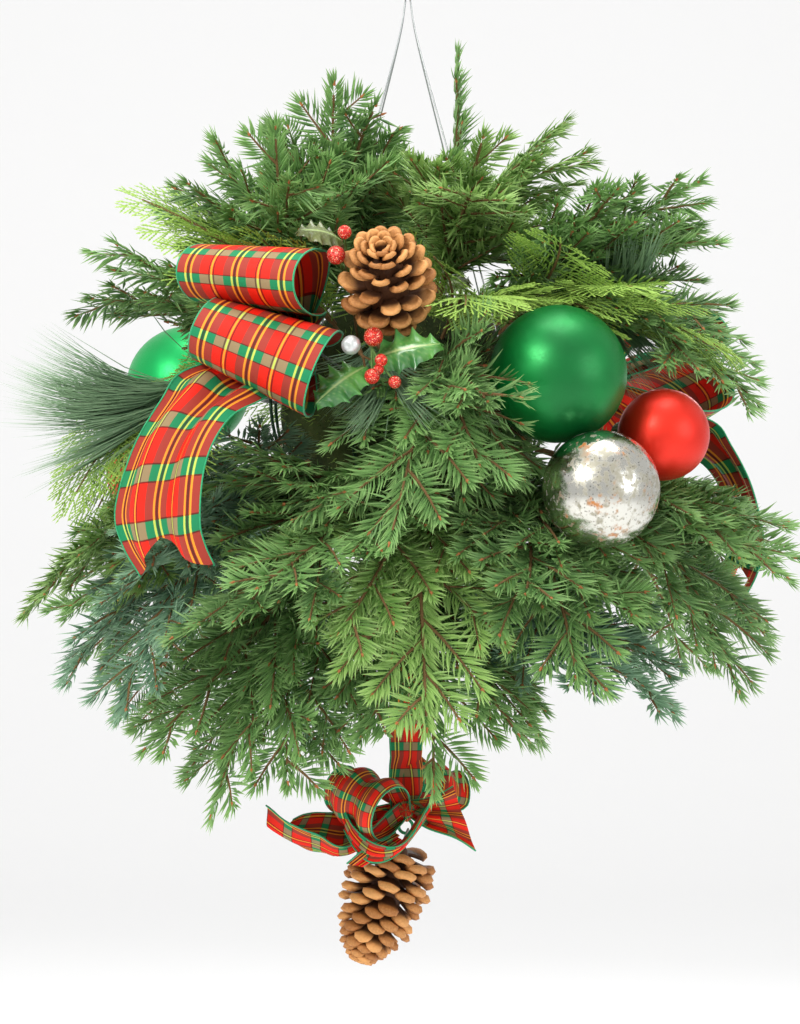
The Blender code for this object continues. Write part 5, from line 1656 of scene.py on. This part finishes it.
# More leaders of the same boughs, which the solids don't have.
FILLERS = {
    "fir_front_left": [
        (-31, 0.250, -0.425), (-15, 0.270, -0.465), (-26, 0.225, -0.432), (-36, 0.235, -0.452),
    ],
    "fir_left_shoulder": [(-78, 0.250, -0.300)],
    "fir_left_low": [(-50, 0.280, -0.520), (-36, 0.205, -0.408), (-52, 0.225, -0.425)],
    "fir_left_side": [(-92, 0.270, -0.490)],
    "fir_front_middle": [(22, 0.240, -0.450), (12, 0.262, -0.440), (31, 0.195, -0.438)],
    "fir_right_front": [(44, 0.275, -0.560), (24, 0.285, -0.500)],
    "fir_right_tip": [(76, 0.290, -0.470), (70, 0.300, -0.490), (84, 0.310, -0.515)],
    "fir_right_side": [(104, 0.270, -0.450)],
    "fir_back": [(170, 0.260, -0.470)],
    "fir_back_left": [(-148, 0.260, -0.470), (-125, 0.290, -0.540)],
    "fir_back_shoulder": [(118, 0.240, -0.320)],
    "fir_back_top": [(-178, 0.190, -0.200), (150, 0.130, -0.150), (-158, 0.130, -0.158)],
    "fir_upper_left": [(-74, 0.220, -0.220), (-58, 0.190, -0.170), (-28, 0.205, -0.212)],
    "fir_upper_right": [
        (24, 0.150, -0.170), (60, 0.150, -0.150), (4, 0.140, -0.190), (14, 0.205, -0.222),
    ],
    "fir_top_left": [(-30, 0.150, -0.185), (-62, 0.130, -0.150), (-14, 0.170, -0.210)],
    "fir_right_high": [
        (46, 0.235, -0.215), (78, 0.250, -0.240), (38, 0.215, -0.250), (68, 0.310, -0.385),
    ],
}


# Where a bough's needles begin on its first leader and on the others, and the
# number of a leader's places that the others share with the first.
FIRST_NEEDLES, FORK_NEEDLES = 0.20, 0.10
FORK = 8
# The top bough stands on edge and is narrow.
TOP_ROLL, TOP_SPREAD = 76, 0.5


def extra_spray(greens, root, exit_point, heading, tip):
    """A shorter spray beside the bough's first leader."""
    rng = greens.rng
    turn = rng.choice([-1, 1]) * rng.uniform(12, 20)
    side = turned(tip - MOSS_CENTRE, turn) * rng.uniform(0.70, 0.82)
    end = MOSS_CENTRE + side + UP * rng.uniform(-0.03, 0.04)
    line = leader_line(root, exit_point, heading, end)[FORK:]
    fir_spray(greens, line, spray_plane(line, rng.uniform(-24, 24)), FORK_NEEDLES)


def fir_piece(name, azimuth, elevation, look, extra, tips, seed):
    greens = Greens(seed)
    heading, root, exit_point = stem_start(azimuth, elevation)
    for number, place in enumerate(tips + FILLERS.get(name, [])):
        tip = around(*place)
        line = leader_line(root, exit_point, heading, tip)
        if number:
            line = line[FORK:]
        roll, spread = greens.rng.uniform(-16, 16), 1.0
        if name == "fir_top":
            roll, spread = TOP_ROLL, TOP_SPREAD
        first = FORK_NEEDLES if number else FIRST_NEEDLES
        fir_spray(greens, line, spray_plane(line, roll), first, spread)
        if extra and number == 0:
            extra_spray(greens, root, exit_point, heading, tip)
    return dress(greens.build(name + "_sprays", sprig_looks(look)), "fir", name)


for seed, (name, (azimuth, elevation, look, extra, tips)) in enumerate(FIR_BOUGHS.items(), 100):
    piece = fir_piece(name, azimuth, elevation, look, extra, tips, seed)
    print(name, triangles(piece))

# %% [markdown]
# ## Cedar and white pine
#
# Cedar fronds are flat fans of overlapping scales and hang in yellow-green
# fingers. White pine carries bundles of five soft needles, each 10 to 13 cm long,
# which stand off the last third of the stem.

# %% Cedar
CEDAR_SPRAYS = {
    "cedar_left": (-38, 36, (-49, 0.255, -0.238)),
    "cedar_middle": (18, 34, (9, 0.275, -0.322)),
    "cedar_over_ball": (50, 34, (41, 0.285, -0.300)),
    "cedar_low_left": (-88, 18, (-63, 0.315, -0.478)),
    "cedar_rear": (-162, 18, (-166, 0.290, -0.400)),
}
SCALE_STEP, SCALE_LENGTH = 0.0032, 0.0056
LEADER_SCALE, FINGER_SCALE = 0.0026, 0.0021
FINGER_STEP = 0.0085
SHORT_FINGER_STEP = 0.0058
CEDAR_FORK = 6


def cedar_beads(greens, line, plane, tone, width=FINGER_SCALE):
    """Scales in a row, each one over the root of the next."""
    whole = line_length(line)
    stops = np.arange(0.0, whole, SCALE_STEP)
    if len(stops) < 2 or len(line) < 2:
        return
    run = run_along(line)
    roots = at_run(line, run, stops)
    runs = at_run(line, run, stops + 0.002) - roots
    runs[-1] = runs[-2]
    runs = units(runs)
    count = len(stops)
    rng = greens.rng
    tones = np.clip(tone + 0.35 * stops / whole + rng.normal(0, 0.06, count), 0, 1)
    ups = np.repeat(plane[None], count, axis=0)
    lengths, widths = np.full(count, SCALE_LENGTH), np.full(count, width)
    greens.add_needles(roots, runs, ups, lengths, widths, tones, 0.0, 0.55)


def cedar_frond(greens, line, plane, tone):
    """A flat fern-like frond: fingers along a leader, and short ones along each finger."""
    rng = greens.rng
    line = clear_part(evenly(line, 40))
    if len(line) < 6:
        return
    greens.add_twig(line[::4], 0.0016, 0.0008)
    whole = line_length(line)
    cedar_beads(greens, line[len(line) // 4:], plane, tone, LEADER_SCALE)
    run = run_along(line)
    place, hand = 0.22 * whole, 1
    while place < whole - 0.006:
        start = at_run(line, run, place)
        forward = unit(at_run(line, run, place + 0.008) - start)
        side = unit(np.cross(forward, plane)) * hand
        share = place / whole
        reach = 0.074 * math.sin(math.pi * min(1, 0.30 + 0.72 * share)) + 0.010
        reach = reach * rng.uniform(0.8, 1.1)
        angle = math.radians(rng.uniform(34, 46))
        heading = unit(forward * math.cos(angle) + side * math.sin(angle) + plane * rng.normal(0, 0.10))
        finger = clear_part(shoot_line(start, heading, forward, reach, 0.25, reach * 0.18, 12))
        if len(finger) >= 4:
            cedar_beads(greens, finger, plane, tone)
            short_fingers(greens, finger, plane, tone)
        place += FINGER_STEP * rng.uniform(0.85, 1.15)
        hand = -hand


def short_fingers(greens, finger, plane, tone):
    length = line_length(finger)
    fine = evenly(finger, 31)
    hand = 1
    for distance in np.arange(0.007, length - 0.004, SHORT_FINGER_STEP):
        index = min(29, int(30 * distance / length))
        ahead = unit(fine[index + 1] - fine[index])
        side = unit(np.cross(ahead, plane)) * hand
        heading = unit(ahead * 0.80 + side * 0.60)
        reach = min(0.022, 0.42 * (length - distance) + 0.005)
        line = shoot_line(fine[index], heading, ahead, reach, 0.2, reach * 0.06, 5)
        cedar_beads(greens, line, plane, tone + 0.1)
        hand = -hand


# Side leaders: their turn from the main one, their share of its length, their drop.
CEDAR_SIDES = ((-13, 0.88, -0.020), (14, 0.84, 0.012))
# More leaders of one spray: the tip's place, and the turn of the fan.
MORE_CEDAR = {
    "cedar_over_ball": [
        ((34, 0.300, -0.345), 10), ((58, 0.315, -0.352), -20), ((27, 0.262, -0.262), 30),
    ],
    "cedar_middle": [((2, 0.240, -0.268), 30)],
    "cedar_left": [((-58, 0.275, -0.215), 40)],
}


def cedar_leaders(name, tip):
    """The tips and turns of a spray's leaders after its main one."""
    out = tip - MOSS_CENTRE
    sides = [(MOSS_CENTRE + turned(out, s) * share + UP * drop, s) for s, share, drop in CEDAR_SIDES]
    return sides + [(around(*place), turn) for place, turn in MORE_CEDAR.get(name, [])]


for seed, (name, (azimuth, elevation, tip)) in enumerate(CEDAR_SPRAYS.items(), 200):
    greens = Greens(seed)
    # Only this spray may hang over the face of the green ball.
    green_face = clearing.groups.pop(GREEN_FACE) if name == "cedar_over_ball" else None
    heading, root, exit_point = stem_start(azimuth, elevation)
    tip = around(*tip)
    main = leader_line(root, exit_point, heading, tip)
    cedar_frond(greens, main, spray_plane(main, 0), greens.rng.uniform(0.25, 0.45))
    for end, swing in cedar_leaders(name, tip):
        line = leader_line(root, exit_point, heading, end)[CEDAR_FORK:]
        cedar_frond(greens, line, spray_plane(line, swing), greens.rng.uniform(0.15, 0.55))
    piece = dress(greens.build(name + "_fronds", sprig_looks(CEDAR_LOOK)), "cedar", name)
    if green_face:
        clearing.groups.insert(GREEN_FACE, green_face)
    print(name, triangles(piece))

# %% White pine
# A tuft is its hole's azimuth and elevation, its stem's end, the places that its
# needles point to, the number of its bundles and its needles' length.
PINE_TUFTS = {
    "pine_left": (
        -74, 18, (-71, 0.235, -0.400),
        [(-74, 0.350, -0.372), (-70, 0.345, -0.400), (-66, 0.325, -0.445)], 190, 0.132,
    ),
    "pine_front": (-15, 28, (-3, 0.200, -0.370), [(-10, 0.305, -0.436), (7, 0.305, -0.432)], 90, 0.098),
    "pine_right": (84, 34, (72, 0.205, -0.290), [(50, 0.270, -0.225), (62, 0.330, -0.390)], 110, 0.110),
}
BUNDLE = 5
PINE_NEEDLE_WIDTH = 0.0015
PINE_TWIG = (0.0026, 0.0016, 6)
PINE_SPREAD = (4, 14, 27)


def pine_tuft(greens, line, targets, bundles, length):
    rng = greens.rng
    greens.add_twig(line[::4], *PINE_TWIG)
    whole = len(line) - 1
    for k in range(bundles):
        forward = unit(around(*targets[k % len(targets)]) - line[-1])
        first = unit(np.cross(forward, UP))
        second = np.cross(first, forward)
        share = 1 - 0.42 * (k / bundles) ** 0.8
        root = line[int(share * whole)]
        turn = math.radians(k * GOLDEN_TURN)
        out = first * math.cos(turn) + second * math.sin(turn)
        spread = math.radians(np.interp(k / bundles, [0, 0.5, 1], PINE_SPREAD) + rng.normal(0, 4))
        heading = forward * math.cos(spread) + out * math.sin(spread)
        runs = units(heading + rng.normal(0, 0.055, (BUNDLE, 3)), 0)
        long = length * rng.uniform(0.86, 1.04, BUNDLE) * (1 - 0.18 * (1 - share))
        roots, ups = (np.repeat(place[None], BUNDLE, axis=0) for place in (root, UP))
        tones = rng.uniform(0.1, 0.9, BUNDLE)
        greens.add_needles(roots, runs, ups, long, np.full(BUNDLE, PINE_NEEDLE_WIDTH), tones, 0.05, 0.7)


for seed, (name, tuft) in enumerate(PINE_TUFTS.items(), 300):
    azimuth, elevation, tip, targets, bundles, length = tuft
    greens = Greens(seed)
    heading, root, exit_point = stem_start(azimuth, elevation)
    line = leader_line(root, exit_point, heading, around(*tip))
    pine_tuft(greens, line, targets, bundles, length)
    piece = dress(greens.build(name + "_needles", sprig_looks(PINE_LOOK)), "pine", name)
    print(name, triangles(piece))

# %% [markdown]
# ## Studio
#
# The basket hangs in front of a pale sweep that stands well behind it. A large soft
# light stands at the upper left, a weaker one at the right, and one each above and
# behind, as in a catalogue photo.

# %% Floor and backdrop
FLOOR_Z = -1.45
SWEEP_RADIUS = 1.6
WALL_Y = 6.2
SWEEP_WIDTH, SWEEP_LENGTH = 22, 20.0
FLOOR_LENGTH = 13.0


def pale_material():
    recipe = Recipe("pale studio paper", Specular_IOR_Level=0.0)
    return recipe.set(Base_Color=colour("fcfcfc"), Roughness=0.95)


def studio_sweep():
    """A sheet of paper that lies flat, turns up through a quarter round and hangs."""
    sweep = flat_grid("studio_sweep", 4, 64)
    points = coordinates(sweep)
    run = (points[:, 1] + 0.5) * SWEEP_LENGTH
    arc = SWEEP_RADIUS * math.pi / 2
    angle = np.clip((run - FLOOR_LENGTH) / SWEEP_RADIUS, 0, math.pi / 2)
    points[:, 0] *= SWEEP_WIDTH
    floor_run = WALL_Y - SWEEP_RADIUS - FLOOR_LENGTH + np.minimum(run, FLOOR_LENGTH)
    points[:, 1] = floor_run + SWEEP_RADIUS * np.sin(angle)
    wall_rise = np.clip(run - FLOOR_LENGTH - arc, 0, None)
    points[:, 2] = FLOOR_Z + SWEEP_RADIUS * (1 - np.cos(angle)) + wall_rise
    set_coordinates(sweep, points)
    bpy.ops.object.shade_smooth()
    sweep.data.materials.append(pale_material())


studio_sweep()

# %% Lights
BASKET_MIDDLE = Vector((0, 0, -0.42))
ROOM_BRIGHTNESS = 0.78
# Each light: its place, size, watts and tint.
LIGHTS = {
    "key light": ((-1.6, -2.2, 1.1), 1.2, 70, (1.0, 0.98, 0.95)),
    "fill light": ((2.2, -1.8, 0.1), 1.6, 24, (0.96, 0.98, 1.0)),
    "top light": ((0.2, -0.2, 1.9), 1.4, 40, (1, 1, 1)),
    "rear light": ((0.6, 2.2, 0.9), 1.4, 30, (1, 1, 1)),
}


def soft_light(name, place, size, watts, tint):
    data = bpy.data.lights.new(name, "AREA")
    data.shape = "SQUARE"
    data.size = size
    data.energy = watts
    data.color = tint
    lamp = bpy.data.objects.new(name, data)
    bpy.context.scene.collection.objects.link(lamp)
    lamp.location = place
    aim = BASKET_MIDDLE - Vector(place)
    lamp.rotation_euler = aim.to_track_quat("-Z", "Y").to_euler()


for name, settings in LIGHTS.items():
    soft_light(name, *settings)
bpy.context.scene.view_settings.view_transform = "Standard"
world = bpy.data.worlds.new("pale room")
bpy.context.scene.world = world
world.use_nodes = True
background = world.node_tree.nodes["Background"]
background.inputs["Color"].default_value = (1, 1, 1, 1)
background.inputs["Strength"].default_value = ROOM_BRIGHTNESS
print("lights", len(LIGHTS))

# %% Sizes
total = sum(pieces_made.values())
print("pieces", len(pieces_made), "triangles", total, "largest", max(pieces_made.values()))
